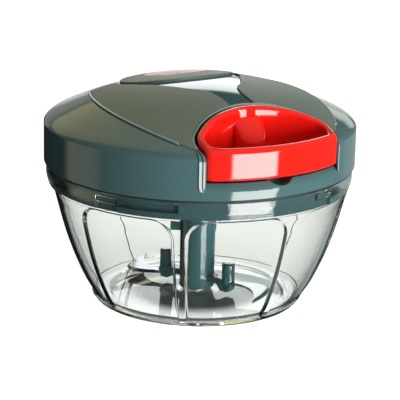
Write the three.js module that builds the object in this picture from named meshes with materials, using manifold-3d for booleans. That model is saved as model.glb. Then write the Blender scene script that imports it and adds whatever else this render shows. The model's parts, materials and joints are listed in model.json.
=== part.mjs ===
// Pull-cord vegetable chopper: a clear bowl, a domed lid that locks on it with a bayonet,
// a sprung cord reel inside the lid, a D-shaped pull handle and a blade set on a column.
// Millimetres, +Z up. The origin is the middle of the foot, and the handle pulls towards -Y.
// An azimuth is measured in degrees from -Y towards +X, seen from above.

import * as THREE from "three";
import { mergeVertices } from "three/addons/utils/BufferGeometryUtils.js";
import Module from "manifold-3d";

const wasm = await Module();
wasm.setup();

// General clearances
const fitGap = 0.3; // between pieces that sit on or run in each other
const overrun = 1; // how far a cutting tool runs past the face it cuts
const weldDistance = 0.0001; // vertices closer than this are one vertex

// Bowl
const rimRadius = 63;
const bowlHeight = 57.6;
const bowlWall = 2.8;
const floorTop = 3;
const footRecess = 1;
const footRingWidth = 4.5;
const spindleBossRadius = 5.5;
const spindleBossHeight = 1.1;
// Height share of bowlHeight, then radius share of rimRadius, from the foot up
const bowlOutlineShares = [
  [0, 0.651],
  [0.012, 0.675],
  [0.06, 0.708],
  [0.16, 0.764],
  [0.3, 0.823],
  [0.45, 0.876],
  [0.6, 0.918],
  [0.72, 0.947],
  [0.8, 0.966],
  [0.87, 0.986],
  [0.93, 1],
  [1, 1],
];
const panelCount = 8;
const panelDepth = 1.2;
const panelMargin = 7.6; // plain band between the panels and the rim
const panelBottom = 2.4;
const panelCornerRadius = 9;
const firstPillarAzimuth = 10;
const pillarHalfAngle = 6; // degrees of full wall on each side of a pillar's middle
const bowlSegments = 64;

// Bayonet between the bowl's inward lugs and the L-shaped grooves of the lid's skirt
const lugCount = 4;
const firstLugAzimuth = -67;
const lugAngle = 9;
const lugReach = 1.3; // inwards from the bowl's inner face
const lugDepth = 2.2; // from the rim down to a lug
const lugHeight = 2.2;
const lockAngle = 24; // how far the lid turns to lock
const lugGap = 0.6; // between a lug's end and its groove
const grooveClearance = 0.5; // above, below and beside a lug

// Spindle pin that the blade column turns on
const pinRadius = 2;
const pinHeight = 21; // above the bowl's floor
const pinSeat = 2; // height of the pin's lower end

// Lid: seal, base plate and skirt
const rimOverhang = 1; // how far the lid reaches past the bowl's rim
const lidWall = 2.2;
const seamGap = 1; // between the bowl's rim and the lower edge of the lid's wall
const sealHeight = 1.2;
const sealClearance = 0.4; // between the seal and the lid's wall
const plateThickness = 2.2;
const skirtWall = 2.4;
const skirtClearance = 0.4;
const skirtDepth = 7.3; // how far the skirt reaches into the bowl
const collarWall = 2.7;
const collarDepth = 4.4;
const lidSegments = 48;

// Lid: dome
const wallHeight = 16.2; // of the upright wall, from the seam
const shoulderWidth = 6; // of the rounded shoulder between dome and wall
const shoulderDrop = 4.1; // from the dome's edge down to the wall
const domeRise = 13.1; // from the dome's edge up to its top
// Shoulder points: share of the way out from the dome's edge to the wall, and of the way down
const shoulderShares = [
  [0.34, 0.22],
  [0.67, 0.5],
  [0.88, 0.75],
  [1, 1],
];

// Pads, medallion and badge on the dome
const padThickness = 0.8;
const padOuterRadius = 80; // curve of each pad's outer edge, seen from above
const padInset = 16.3; // from the lid's wall in to that edge
const padOuterMiddle = -8; // Y of its furthest point
const padBackRound = 7;
const padBackOffset = 7; // from the medallion's middle to the pads' back
const channelHalfWidth = 5.6;
const padInnerY = -20;
const padInnerRound = 6;
const padGap = 1.4; // between a pad and the medallion or the handle's recess
const medallionHalfLength = 25;
const medallionHalfWidth = 18;
const medallionY = 20;
const badgeHalfLength = 14;
const badgeHalfWidth = 9.2;
const badgeOffset = 1; // from the medallion's middle to the badge's

// Handle: a D-shaped tray whose front lies flush with the lid's wall
const handleHalfWidth = 29.8;
const handleBackShare = 0.5203; // of the lid's radius, from the axis out to the handle's back
const handleSide = 5.94; // from the front's ends back to the middles of the back corners
const handleCornerRadius = 9;
const handleLift = 7.7; // from the seam up to the handle
const handleWall = 3;
const handleFloor = 1.8;
const crownProud = 0.3; // the handle's rim follows a sphere of its own above the dome
const crownDrop = 14.13; // from that sphere's top to the front rim
const bossRadius = 6.5;
const bossAboveCord = 12.5;
const bossRound = 2;
const bossInset = 5.4; // from the handle's back face to the middle of the boss
const knotRadius = 3;
const knotHeadroom = 1.2; // above the knot in its chamber
const recessGap = 1; // between the handle and its recess
const recessWall = 1.8;
const recessFloorThickness = 3.3;
const dipRadius = 6; // fingertip dip in the ledge under the handle
const dipDepth = 2.8;
const dipLength = 9;

// Cord, reel, spring and drive
const cordRadius = 1;
const cordDrop = 6; // from the reel's top down to the cord
const cordSides = 8;
const drumDepth = 11; // from the flanges' edge in to the drum
const windingHeight = 8;
const flangeClearance = 1; // between the flanges and the housing
const flangeThickness = 1.6;
const reelClearance = 1.8; // above the base plate
const arborRadius = 4.5;
const arborClearance = 0.8; // below the spring cover
const springStripThickness = 0.7;
const springStripHeight = 4.4;
const springTurns = 3.5;
const springSteps = 14; // per turn
const springHeadroom = 1;
const housingWall = 1.6;
const headroom = 0.53; // between the cover's screws and the dome
const coverThickness = 1.2;
const cordSlotWidth = 13;
const cordSlotHeight = 7;
const cordSlotX = -3;
const guideSleeveRadius = 2.8;
const guideFlangeRadius = 4.2;
const guideFlangeThickness = 1;
const guideBore = 1.6;
const cordStraight = 1.8; // straight run of cord behind the guide's flange
const axleRadius = 2;
const axleSpacing = 3; // above the drive screw's end
const axleHeadRadius = 4;
const axleHeadHeight = 1;
const socketRadius = 9.6;
const socketReach = 3.5; // below the collar
const socketWeb = 4.9; // above the hexagon's bore
const hexFlats = 8.8;
const driveScrewRadius = 1.5;
const driveScrewHeadRadius = 2.8;
const driveScrewHeadHeight = 1.5;
const driveScrewBite = 7.6; // into the reel
const washerWidth = 3.1;
const washerThickness = 0.9;

// Screws of the lid and of the spring cover
const lidScrewCount = 4;
const lidScrewAzimuth = 45;
const lidScrewInset = 14; // from the lid's wall
const lidScrewRadius = 1.5;
const lidScrewHeadRadius = 3;
const lidScrewHeadHeight = 1.8;
const lidScrewLength = 9;
const lidBossRadius = 4;
const coverScrewCount = 3;
const coverScrewAzimuth = 60;
const coverBossOverlap = 0.2; // of a boss with the housing's wall
const coverScrewRadius = 1;
const coverScrewHeadRadius = 2;
const coverScrewHeadHeight = 1;
const coverScrewLength = 4.5;
const coverBossRadius = 2.6;
const coverBossHeight = 4.2;

// Blade set
const columnRadius = 7.3;
const columnGap = 0.7; // between the column's shoulder and the socket
const pinClearance = 2; // above the pin in the column's bore
const hexClearance = 0.4; // between the hexagon and the drive screw
const armAzimuth = 24;
const armReach = 16;
const armWidth = 5;
const armLift = 4.6; // above the bowl's floor
const armThickness = 2.6;
const postRadius = 2.7;
const postHeight = 6.6; // above the arm
const finGap = 1.9; // above the bowl's floor
const finWidth = 4.8;
const finTipShare = 0.45;
const tabLift = 25.9; // above the column's lower end
const tabSize = 3.4;
const tabReach = 11.4;
const tabAzimuth = -121;
const bladeThickness = 1;
const bladeRootHalfWidth = 1.4;
const bladeRootDepth = 3.8; // inwards from the post's middle
const bladeClearance = 5.08; // between a blade's end and the bowl's wall, along the arm
const lowerBladeLift = 2.7; // above the bowl's floor
const upperBladeLift = 0.8; // above the arm's underside
// The blade's outline beyond its post: share of the free length, then share of it sideways,
// where the cutting edge leads on the positive side
const bladeEdgeBendShares = [0.42, 0.42];
const bladeNotchShares = [0.7, 0.24];
const bladeShoulderShares = [0.97, 0.02];
const bladeTipShares = [1, -0.79];
const bladeBackBendShares = [0.62, 0.08];
const bladeNotchSize = 1.4;

// Radii and places that follow from the sizes above
const lidRadius = rimRadius + rimOverhang;
const shoulderRadius = lidRadius - shoulderWidth;
const skirtRadius = rimRadius - bowlWall - skirtClearance;
const plateRadius = lidRadius - lidWall - fitGap;
const sealRadius = lidRadius - lidWall - sealClearance;
const grooveDepth = lugReach - skirtClearance + lugGap;
const padOuterReach = lidRadius - padInset;
const padBackY = medallionY + padBackOffset;
const badgeY = medallionY + badgeOffset;
const handleBackY = -lidRadius * handleBackShare;
const handleCornerX = handleHalfWidth - handleCornerRadius;
const handleCornerY = handleSide - Math.sqrt(lidRadius ** 2 - handleHalfWidth ** 2);
const handleCornerDrop = handleBackY - handleCornerY;
const handleBackRadius =
  (handleCornerX ** 2 + handleCornerDrop ** 2 - handleCornerRadius ** 2) /
  (2 * (handleCornerDrop - handleCornerRadius));
const handleBackCentre = handleBackY - handleBackRadius;
const handleCornerAngle = Math.atan2(handleCornerY - handleBackCentre, handleCornerX);
const knotY = handleBackY - bossInset;
const recessBackY = handleBackY + recessGap;
const guideFlangeY = recessBackY + recessWall + fitGap;
const housingRadius = -guideFlangeY - guideFlangeThickness - 2 * fitGap;
const flangeRadius = housingRadius - housingWall - flangeClearance;
const drumRadius = flangeRadius - drumDepth;
const windingRadius = drumRadius + fitGap + 2 * cordRadius;
const lidScrewCircle = lidRadius - lidScrewInset;
const coverScrewCircle = housingRadius - housingWall - coverBossRadius + coverBossOverlap;
const springOuterRadius = coverScrewCircle - coverBossRadius - fitGap;
const collarRadius = socketRadius + fitGap + collarWall;
const washerRadius = socketRadius + fitGap + washerWidth;
const bladeRootStart = armReach - bladeRootDepth;

// Heights that follow, from the foot up
const columnBottom = floorTop + spindleBossHeight + fitGap;
const finBottom = floorTop + finGap;
const lowerBladeBottom = floorTop + lowerBladeLift;
const armBottom = floorTop + armLift;
const armTop = armBottom + armThickness;
const upperBladeBottom = armBottom + upperBladeLift;
const postTop = armTop + postHeight;
const pinTop = floorTop + pinHeight;
const columnBoreTop = pinTop + pinClearance;
const tabHeight = columnBottom + tabLift;
const bladeReach = radiusOnBowl(lowerBladeBottom) - bowlWall - bladeClearance;
const panelTop = bowlHeight - panelMargin;
const skirtBottom = bowlHeight - skirtDepth;
const lugTop = bowlHeight - lugDepth;
const sealBottom = bowlHeight + fitGap;
const seamHeight = bowlHeight + seamGap;
const plateBottom = sealBottom + sealHeight + fitGap;
const plateTop = plateBottom + plateThickness;
const collarBottom = plateBottom - collarDepth;
const socketBottom = collarBottom - socketReach;
const columnTop = socketBottom - columnGap;
const reelBottom = plateTop + reelClearance;
const socketBoreTop = reelBottom - fitGap - socketWeb;
const hexTop = socketBoreTop - fitGap - driveScrewHeadHeight - hexClearance;
const driveScrewTop = reelBottom + driveScrewBite;
const axleBottom = driveScrewTop + axleSpacing;
const shoulderHeight = seamHeight + wallHeight;
const domeEdge = shoulderHeight + shoulderDrop;
const domeTop = domeEdge + domeRise;
const domeRadius = (shoulderRadius ** 2 + domeRise ** 2) / (2 * domeRise);
const crownTop = domeTop + crownProud;
const crownRadius = (lidRadius ** 2 + crownDrop ** 2) / (2 * crownDrop);
const housingTop =
  domeHeight(housingRadius) - lidWall - coverThickness - coverScrewHeadHeight - headroom;
const arborTop = housingTop - arborClearance;
const reelTop = housingTop - springHeadroom - springStripHeight - 2 * fitGap;
const cordHeight = reelTop - cordDrop;
const handleBottom = seamHeight + handleLift;
const recessFloor = handleBottom - recessGap;
const bossTop = cordHeight + bossAboveCord;
const knotChamberTop = cordHeight + knotRadius + knotHeadroom;

// Builders

const inRadians = (degrees) => (degrees * Math.PI) / 180;

// Angle in the XY plane of a direction given by its azimuth.
const angleOf = (azimuth) => inRadians(azimuth - 90);

// The point at this azimuth and distance from the axis.
function around(azimuth, radius) {
  return [Math.cos(angleOf(azimuth)) * radius, Math.sin(angleOf(azimuth)) * radius];
}

// A closed geometry as a solid that can be cut and joined.
function solidOf(geometry) {
  const bare = new THREE.BufferGeometry();
  bare.setAttribute("position", geometry.getAttribute("position").clone());
  bare.setIndex(geometry.index);
  const merged = mergeVertices(bare, weldDistance);
  const faces = Array.from(merged.index.array);
  const kept = [];
  for (let i = 0; i < faces.length; i += 3) {
    const [a, b, c] = faces.slice(i, i + 3);
    if (a !== b && b !== c && c !== a) kept.push(a, b, c);
  }
  const build = (triVerts) =>
    new wasm.Manifold(
      new wasm.Mesh({
        numProp: 3,
        vertProperties: merged.getAttribute("position").array,
        triVerts: new Uint32Array(triVerts),
      }),
    );
  const solid = build(kept);
  return solid.volume() < 0 ? build(kept.reverse()) : solid;
}

function geometryOf(solid) {
  const mesh = solid.getMesh();
  const geometry = new THREE.BufferGeometry();
  geometry.setAttribute("position", new THREE.BufferAttribute(mesh.vertProperties, 3));
  geometry.setIndex(new THREE.BufferAttribute(mesh.triVerts, 1));
  return geometry;
}

// Turns a profile of [radius, height] points about the Z axis.
function turned(profile, segments, startAngle = 0) {
  const points = profile.map(([radius, height]) => new THREE.Vector2(radius, height));
  return new THREE.LatheGeometry(points, segments, startAngle).rotateX(Math.PI / 2);
}

function prism(shape, bottom, top, curveSegments = 12) {
  const options = { depth: top - bottom, bevelEnabled: false, curveSegments };
  return new THREE.ExtrudeGeometry(shape, options).translate(0, 0, bottom);
}

function rod(radius, bottom, top, segments = 12) {
  return new THREE.CylinderGeometry(radius, radius, top - bottom, segments)
    .rotateX(Math.PI / 2)
    .translate(0, 0, (top + bottom) / 2);
}

// A rod along Y between two Y values.
function rodAlongY(radius, fromY, toY, segments = 16) {
  return new THREE.CylinderGeometry(radius, radius, Math.abs(toY - fromY), segments).translate(
    0,
    (fromY + toY) / 2,
    0,
  );
}

// Part of a ring between two azimuths.
function sector(innerRadius, outerRadius, fromAzimuth, toAzimuth, bottom, top) {
  const shape = new THREE.Shape();
  shape.absarc(0, 0, outerRadius, angleOf(fromAzimuth), angleOf(toAzimuth), false);
  shape.absarc(0, 0, innerRadius, angleOf(toAzimuth), angleOf(fromAzimuth), true);
  return prism(shape, bottom, top, 4);
}

function tube(innerRadius, outerRadius, bottom, top, segments = 28) {
  const profile = [
    [innerRadius, bottom],
    [outerRadius, bottom],
    [outerRadius, top],
    [innerRadius, top],
    [innerRadius, bottom],
  ];
  return turned(profile, segments);
}

// A disc-headed screw along Z, its head below its shank.
function screwProfile(headRadius, headHeight, shankRadius, length) {
  return [
    [0, 0],
    [headRadius, 0],
    [headRadius, headHeight],
    [shankRadius, headHeight],
    [shankRadius, headHeight + length],
    [0, headHeight + length],
  ];
}

function radiusOnBowl(height) {
  const share = height / bowlHeight;
  const next = bowlOutlineShares.findIndex(([heightShare]) => heightShare >= share);
  if (next <= 0) return bowlOutlineShares[0][1] * rimRadius;
  const [lowHeight, lowRadius] = bowlOutlineShares[next - 1];
  const [highHeight, highRadius] = bowlOutlineShares[next];
  const between = (share - lowHeight) / (highHeight - lowHeight);
  return (lowRadius + (highRadius - lowRadius) * between) * rimRadius;
}

// Bowl

// How much of a panel's depth a point of the wall has, from 0 on a pillar to 1 in a panel.
function panelShare(azimuth, height, radius) {
  if (height < panelBottom || height > panelTop) return 0;
  const spacing = 360 / panelCount;
  const turns = (azimuth - firstPillarAzimuth) / spacing;
  const fromPillar = Math.abs(turns - Math.round(turns)) * spacing;
  const rise = Math.max(0, height - (panelTop - panelCornerRadius));
  const drawnIn = panelCornerRadius - Math.sqrt(panelCornerRadius ** 2 - rise ** 2);
  const edge = pillarHalfAngle + (drawnIn / radius) * (180 / Math.PI);
  return fromPillar > edge ? 1 : 0;
}

function bowlGeometry() {
  const outer = bowlOutlineShares.map(([height, radius]) => [
    radius * rimRadius,
    height * bowlHeight,
  ]);
  const seatHeight = skirtBottom - 2 * fitGap;
  const inner = outer
    .filter(([, height], index) => height > floorTop && height < seatHeight && index % 2 === 1)
    .map(([radius, height]) => [radius - bowlWall, height])
    .reverse();
  const footInner = outer[0][0] - footRingWidth;
  const profile = [
    [0, footRecess],
    [footInner - footRecess, footRecess],
    [footInner, 0],
    ...outer,
    [rimRadius - bowlWall, bowlHeight],
    [rimRadius - bowlWall, seatHeight],
    [radiusOnBowl(seatHeight) - bowlWall, seatHeight],
    ...inner,
    [radiusOnBowl(floorTop) - bowlWall, floorTop],
    [spindleBossRadius, floorTop],
    [spindleBossRadius, floorTop + spindleBossHeight],
    [0, floorTop + spindleBossHeight],
  ];
  const geometry = turned(profile, bowlSegments, inRadians(180 - firstPillarAzimuth));
  const position = geometry.getAttribute("position");
  const firstOuter = 3;
  for (let i = 0; i < position.count; i += 1) {
    const row = i % profile.length;
    if (row < firstOuter || row >= firstOuter + outer.length) continue;
    const [x, y, z] = [position.getX(i), position.getY(i), position.getZ(i)];
    const radius = Math.hypot(x, y);
    const azimuth = (Math.atan2(x, -y) * 180) / Math.PI;
    const scale = 1 - (panelDepth * panelShare(azimuth, z, radius)) / radius;
    position.setXYZ(i, x * scale, y * scale, z);
  }
  return geometry;
}

function makeBowl() {
  let bowl = solidOf(bowlGeometry());
  const innerRadius = rimRadius - bowlWall;
  for (let i = 0; i < lugCount; i += 1) {
    const middle = firstLugAzimuth + (i * 360) / lugCount;
    const from = middle - lugAngle / 2;
    const to = middle + lugAngle / 2;
    const reach = innerRadius - lugReach;
    const root = innerRadius + bowlWall / 2;
    bowl = bowl.add(solidOf(sector(reach, root, from, to, lugTop - lugHeight, lugTop)));
  }
  const seat = rod(pinRadius + fitGap, pinSeat - fitGap, floorTop + spindleBossHeight + overrun);
  return geometryOf(bowl.subtract(solidOf(seat)));
}

function makeSpindlePin() {
  const nose = pinRadius / 2;
  return turned(
    [
      [0, pinSeat],
      [pinRadius, pinSeat],
      [pinRadius, pinTop - nose],
      [nose, pinTop],
      [0, pinTop],
    ],
    20,
  );
}

// Lid

function domeHeight(radius) {
  return domeTop - domeRadius + Math.sqrt(domeRadius ** 2 - radius ** 2);
}

// The lid's outer outline from its top down to the seam, moved out by a lift.
function lidOutline(lift, bottom, wallRadius = lidRadius) {
  const points = [];
  const domeSteps = 5;
  const reach = wallRadius - (lidRadius - shoulderRadius);
  for (let i = 0; i <= domeSteps; i += 1) {
    const radius = (reach * i) / domeSteps;
    points.push([radius, domeHeight(radius) + lift]);
  }
  const edge = domeHeight(reach) + lift;
  const drop = edge - (shoulderHeight + lift);
  for (const [outShare, downShare] of shoulderShares) {
    points.push([reach + (wallRadius - reach) * outShare, edge - drop * downShare]);
  }
  points.push([wallRadius, bottom]);
  return points;
}

// The handle's outline from above, grown outwards by a margin; frontRadius is its front's curve.
function handleShape(margin, frontRadius) {
  const half = handleHalfWidth + margin;
  const corner = handleCornerRadius + margin;
  const back = handleBackRadius + margin;
  const frontAngle = Math.asin(half / frontRadius);
  const shape = new THREE.Shape();
  shape.absarc(0, 0, frontRadius, -Math.PI / 2 - frontAngle, -Math.PI / 2 + frontAngle, false);
  shape.absarc(handleCornerX, handleCornerY, corner, 0, handleCornerAngle, false);
  shape.absarc(0, handleBackCentre, back, handleCornerAngle, Math.PI - handleCornerAngle, false);
  shape.absarc(-handleCornerX, handleCornerY, corner, Math.PI - handleCornerAngle, Math.PI, false);
  return shape;
}

function ellipseShape(halfLength, halfWidth, y) {
  return new THREE.Shape().absellipse(0, y, halfLength, halfWidth, 0, 2 * Math.PI, false);
}

const ringOfScrews = (count, azimuth, circle) =>
  Array.from({ length: count }, (_, i) => around(azimuth + (i * 360) / count, circle));

const lidScrewPlaces = ringOfScrews(lidScrewCount, lidScrewAzimuth, lidScrewCircle);
const coverScrewPlaces = ringOfScrews(coverScrewCount, coverScrewAzimuth, coverScrewCircle);

function makeLidCover() {
  const full = solidOf(turned([...lidOutline(0, seamHeight), [0, seamHeight]], lidSegments));
  const hollowOutline = lidOutline(-lidWall, seamHeight - overrun, lidRadius - lidWall);
  const hollow = solidOf(turned([...hollowOutline, [0, seamHeight - overrun]], lidSegments));
  const blockBottom = recessFloor - recessFloorThickness;
  const blockShape = handleShape(recessGap + recessWall, lidRadius);
  let cover = full.subtract(hollow);
  cover = cover.add(full.intersect(solidOf(prism(blockShape, blockBottom, domeTop, 6))));
  for (const [x, y] of lidScrewPlaces) {
    const boss = rod(lidBossRadius, plateTop + fitGap, domeTop, 16).translate(x, y, 0);
    cover = cover.add(full.intersect(solidOf(boss)));
  }
  const recessShape = handleShape(recessGap, lidRadius + handleWall);
  cover = cover.subtract(solidOf(prism(recessShape, recessFloor, domeTop + overrun, 6)));
  const dip = rodAlongY(dipRadius, -lidRadius - overrun, -lidRadius + dipLength, 28);
  cover = cover.subtract(solidOf(dip.translate(0, 0, recessFloor + dipRadius - dipDepth)));
  const guideHole = rodAlongY(
    guideSleeveRadius + fitGap,
    recessBackY - overrun,
    recessBackY + recessWall + overrun,
  );
  cover = cover.subtract(solidOf(guideHole.translate(0, 0, cordHeight)));
  for (const [x, y] of lidScrewPlaces) {
    const top = plateTop + lidScrewLength + fitGap;
    const hole = rod(lidScrewRadius + fitGap, plateTop, top, 12).translate(x, y, 0);
    cover = cover.subtract(solidOf(hole));
  }
  return geometryOf(cover);
}

// The layer that pads and medallion are cut from, one fit gap above the dome.
function domeLayer(thickness) {
  const edge = shoulderHeight + fitGap;
  const top = lidOutline(fitGap + thickness, edge);
  const bottom = lidOutline(fitGap, edge);
  return solidOf(turned([...top, ...bottom.reverse()], lidSegments));
}

// One pad from above; side is 1 on the right and -1 on the left.
function padShape(side) {
  const centreX = padOuterReach - padOuterRadius;
  const frontAngle = Math.asin((-lidRadius - padOuterMiddle) / padOuterRadius);
  const backAngle = Math.asin((padBackY - padOuterMiddle) / padOuterRadius);
  const inner = medallionHalfLength - padGap;
  const points = new THREE.Path();
  points.absarc(centreX, padOuterMiddle, padOuterRadius, frontAngle, backAngle, false);
  const backX = centreX + padOuterRadius * Math.cos(backAngle);
  points.quadraticCurveTo(backX - padGap, padBackY + padBackRound, inner + padGap, padBackY);
  points.quadraticCurveTo(inner + padGap, medallionY, inner, medallionY - padBackRound);
  points.lineTo(channelHalfWidth + padInnerRound, padInnerY + padInnerRound);
  points.quadraticCurveTo(
    channelHalfWidth,
    padInnerY,
    channelHalfWidth,
    padInnerY - padInnerRound,
  );
  points.lineTo(channelHalfWidth, -lidRadius);
  const outline = points.getPoints(7).map(({ x, y }) => new THREE.Vector2(x * side, y));
  return new THREE.Shape(outline);
}

function makePad(side) {
  const outline = solidOf(prism(padShape(side), shoulderHeight, domeTop + overrun + padThickness));
  const medallion = ellipseShape(medallionHalfLength + padGap, medallionHalfWidth + padGap, medallionY);
  const aroundHandle = handleShape(recessGap + padGap, lidRadius + overrun);
  const cuts = [medallion, aroundHandle].map((shape) =>
    solidOf(prism(shape, shoulderHeight - overrun, domeTop + 2 * overrun + padThickness, 8)),
  );
  return geometryOf(
    domeLayer(padThickness).intersect(outline).subtract(cuts[0]).subtract(cuts[1]),
  );
}

// The medallion is a ring that the badge is let into, level with it.
function makeMedallion() {
  const shape = ellipseShape(medallionHalfLength, medallionHalfWidth, medallionY);
  const opening = ellipseShape(badgeHalfLength + fitGap, badgeHalfWidth + fitGap, badgeY);
  const top = domeTop + overrun + padThickness;
  const outline = solidOf(prism(shape, shoulderHeight, top, 12));
  const hole = solidOf(prism(opening, shoulderHeight - overrun, top + overrun, 8));
  return geometryOf(domeLayer(padThickness).intersect(outline).subtract(hole));
}

function makeBadge() {
  const shape = ellipseShape(badgeHalfLength, badgeHalfWidth, badgeY);
  const outline = solidOf(prism(shape, shoulderHeight, domeTop + overrun + padThickness, 8));
  return geometryOf(domeLayer(padThickness).intersect(outline));
}

function makeLidBase() {
  const hole = socketRadius + fitGap;
  const skirtInner = skirtRadius - skirtWall;
  const profile = [
    [hole, collarBottom],
    [collarRadius, collarBottom],
    [collarRadius, plateBottom],
    [skirtInner, plateBottom],
    [skirtInner, skirtBottom],
    [skirtRadius, skirtBottom],
    [skirtRadius, plateBottom],
    [plateRadius, plateBottom],
    [plateRadius, plateTop],
    [hole, plateTop],
    [hole, collarBottom],
  ];
  let base = solidOf(turned(profile, lidSegments));
  const floor = skirtRadius - grooveDepth;
  const grooveTop = lugTop + grooveClearance;
  const grooveBottom = lugTop - lugHeight - grooveClearance;
  const halfLug = lugAngle / 2 + (grooveClearance / skirtRadius) * (180 / Math.PI);
  for (let i = 0; i < lugCount; i += 1) {
    const middle = firstLugAzimuth + (i * 360) / lugCount;
    const [from, to] = [middle - halfLug, middle + halfLug];
    const entry = sector(floor, rimRadius, from, to, skirtBottom - overrun, grooveTop);
    const run = sector(floor, rimRadius, from, to + lockAngle, grooveBottom, grooveTop);
    base = base.subtract(solidOf(entry)).subtract(solidOf(run));
  }
  for (const [x, y] of lidScrewPlaces) {
    const shank = rod(lidScrewRadius + fitGap, plateBottom - overrun, plateTop + overrun, 12);
    base = base.subtract(solidOf(shank.translate(x, y, 0)));
  }
  return geometryOf(base);
}

function makeSeal() {
  const inner = rimRadius - bowlWall;
  return tube(inner, sealRadius, sealBottom, sealBottom + sealHeight, lidSegments);
}

// Handle

function makeHandle() {
  const crownPoints = [];
  const crownSteps = 6;
  for (let i = 0; i <= crownSteps; i += 1) {
    const radius = (lidRadius * i) / crownSteps;
    crownPoints.push([radius, crownTop - crownRadius + Math.sqrt(crownRadius ** 2 - radius ** 2)]);
  }
  const crown = turned([...crownPoints, [lidRadius, handleBottom], [0, handleBottom]], lidSegments);
  const crownSolid = solidOf(crown);
  const outer = solidOf(prism(handleShape(0, lidRadius), handleBottom, crownTop, 10));
  const innerShape = handleShape(-handleWall, lidRadius - handleWall);
  const innerBottom = handleBottom + handleFloor;
  let cavity = solidOf(prism(innerShape, innerBottom, crownTop + overrun, 10));
  const boss = turned(
    [
      [0, handleBottom],
      [bossRadius, handleBottom],
      [bossRadius, bossTop - bossRound],
      [bossRadius - bossRound, bossTop],
      [0, bossTop],
    ],
    20,
  );
  cavity = cavity.subtract(solidOf(boss.translate(0, knotY, 0)));
  const chamber = rod(knotRadius + 2 * fitGap, handleBottom - overrun, knotChamberTop, 16);
  const cordHole = rodAlongY(cordRadius + fitGap, knotY, handleBackY + overrun, 12);
  const handle = crownSolid
    .intersect(outer)
    .subtract(cavity)
    .subtract(solidOf(chamber.translate(0, knotY, 0)))
    .subtract(solidOf(cordHole.translate(0, 0, cordHeight)));
  return geometryOf(handle);
}

function makeKnot() {
  return new THREE.SphereGeometry(knotRadius, 14, 10).translate(0, knotY, cordHeight);
}

// Cord, reel and drive

// The cord leaves the winding at a tangent, bends at the guide and ends behind the knot.
function cordPath() {
  const bendY = guideFlangeY + guideFlangeThickness + cordStraight;
  const runRadius = windingRadius + cordRadius + fitGap;
  const turn = Math.acos(runRadius / -bendY);
  const start = [-Math.sin(turn) * runRadius, -Math.cos(turn) * runRadius];
  const bendShare = 0.25;
  const places = [
    start,
    [start[0] * bendShare, bendY + (start[1] - bendY) * bendShare],
    [0, bendY - cordStraight / 2],
    [0, recessBackY],
    [0, knotY + knotRadius + fitGap],
  ];
  return new THREE.CatmullRomCurve3(
    places.map(([x, y]) => new THREE.Vector3(x, y, cordHeight)),
    false,
    "centripetal",
  );
}

function makeCord() {
  const section = new THREE.Shape();
  for (let i = 0; i < cordSides; i += 1) {
    const angle = (i * 2 * Math.PI) / cordSides;
    const [x, y] = [Math.cos(angle) * cordRadius, Math.sin(angle) * cordRadius];
    if (i === 0) section.moveTo(x, y);
    else section.lineTo(x, y);
  }
  section.closePath();
  return new THREE.ExtrudeGeometry(section, { steps: 14, extrudePath: cordPath() });
}

function makeWinding() {
  const bottom = cordHeight - windingHeight / 2;
  return tube(drumRadius + fitGap, windingRadius, bottom, bottom + windingHeight, 32);
}

function makeReel() {
  const bore = axleRadius + fitGap;
  const profile = [
    [0, reelBottom],
    [flangeRadius, reelBottom],
    [flangeRadius, reelBottom + flangeThickness],
    [drumRadius, reelBottom + flangeThickness],
    [drumRadius, reelTop - flangeThickness],
    [flangeRadius, reelTop - flangeThickness],
    [flangeRadius, reelTop],
    [arborRadius, reelTop],
    [arborRadius, arborTop],
    [bore, arborTop],
    [bore, axleBottom - fitGap],
    [0, axleBottom - fitGap],
  ];
  const screwHole = rod(driveScrewRadius + fitGap, reelBottom - overrun, driveScrewTop + fitGap, 12);
  return geometryOf(solidOf(turned(profile, 32)).subtract(solidOf(screwHole)));
}

// A flat spiral strip from the reel's arbor out to the housing.
function makeSpring() {
  const inner = arborRadius + fitGap;
  const growth = (springOuterRadius - springStripThickness - inner) / (springTurns * springSteps);
  const edge = (offset) =>
    Array.from({ length: springTurns * springSteps + 1 }, (_, i) => {
      const angle = (i * 2 * Math.PI) / springSteps;
      const radius = inner + growth * i + offset;
      return new THREE.Vector2(Math.cos(angle) * radius, Math.sin(angle) * radius);
    });
  const shape = new THREE.Shape([...edge(springStripThickness), ...edge(0).reverse()]);
  const bottom = reelTop + 2 * fitGap;
  return prism(shape, bottom, bottom + springStripHeight);
}

function makeHousing() {
  const inner = housingRadius - housingWall;
  let housing = solidOf(tube(inner, housingRadius, plateTop, housingTop, 32));
  const slot = new THREE.BoxGeometry(cordSlotWidth, 2 * housingWall + 2 * overrun, cordSlotHeight);
  slot.translate(cordSlotX, -housingRadius + housingWall, cordHeight);
  housing = housing.subtract(solidOf(slot));
  for (const [x, y] of coverScrewPlaces) {
    const boss = rod(coverBossRadius, housingTop - coverBossHeight, housingTop, 16);
    const hole = rod(coverScrewRadius + fitGap, housingTop - coverBossHeight - overrun, housingTop);
    housing = housing.add(solidOf(boss.translate(x, y, 0)));
    housing = housing.subtract(solidOf(hole.translate(x, y, 0)));
  }
  return geometryOf(housing);
}

function makeSpringCover() {
  const top = housingTop + coverThickness;
  let cover = solidOf(tube(axleRadius + fitGap, housingRadius, housingTop, top, 32));
  for (const [x, y] of coverScrewPlaces) {
    const hole = rod(coverScrewRadius + fitGap, housingTop - overrun, top + overrun, 12);
    cover = cover.subtract(solidOf(hole.translate(x, y, 0)));
  }
  return geometryOf(cover);
}

function makeAxle() {
  const headBottom = housingTop + coverThickness;
  return turned(
    [
      [0, axleBottom],
      [axleRadius, axleBottom],
      [axleRadius, headBottom],
      [axleHeadRadius, headBottom],
      [axleHeadRadius, headBottom + axleHeadHeight],
      [0, headBottom + axleHeadHeight],
    ],
    20,
  );
}

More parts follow.
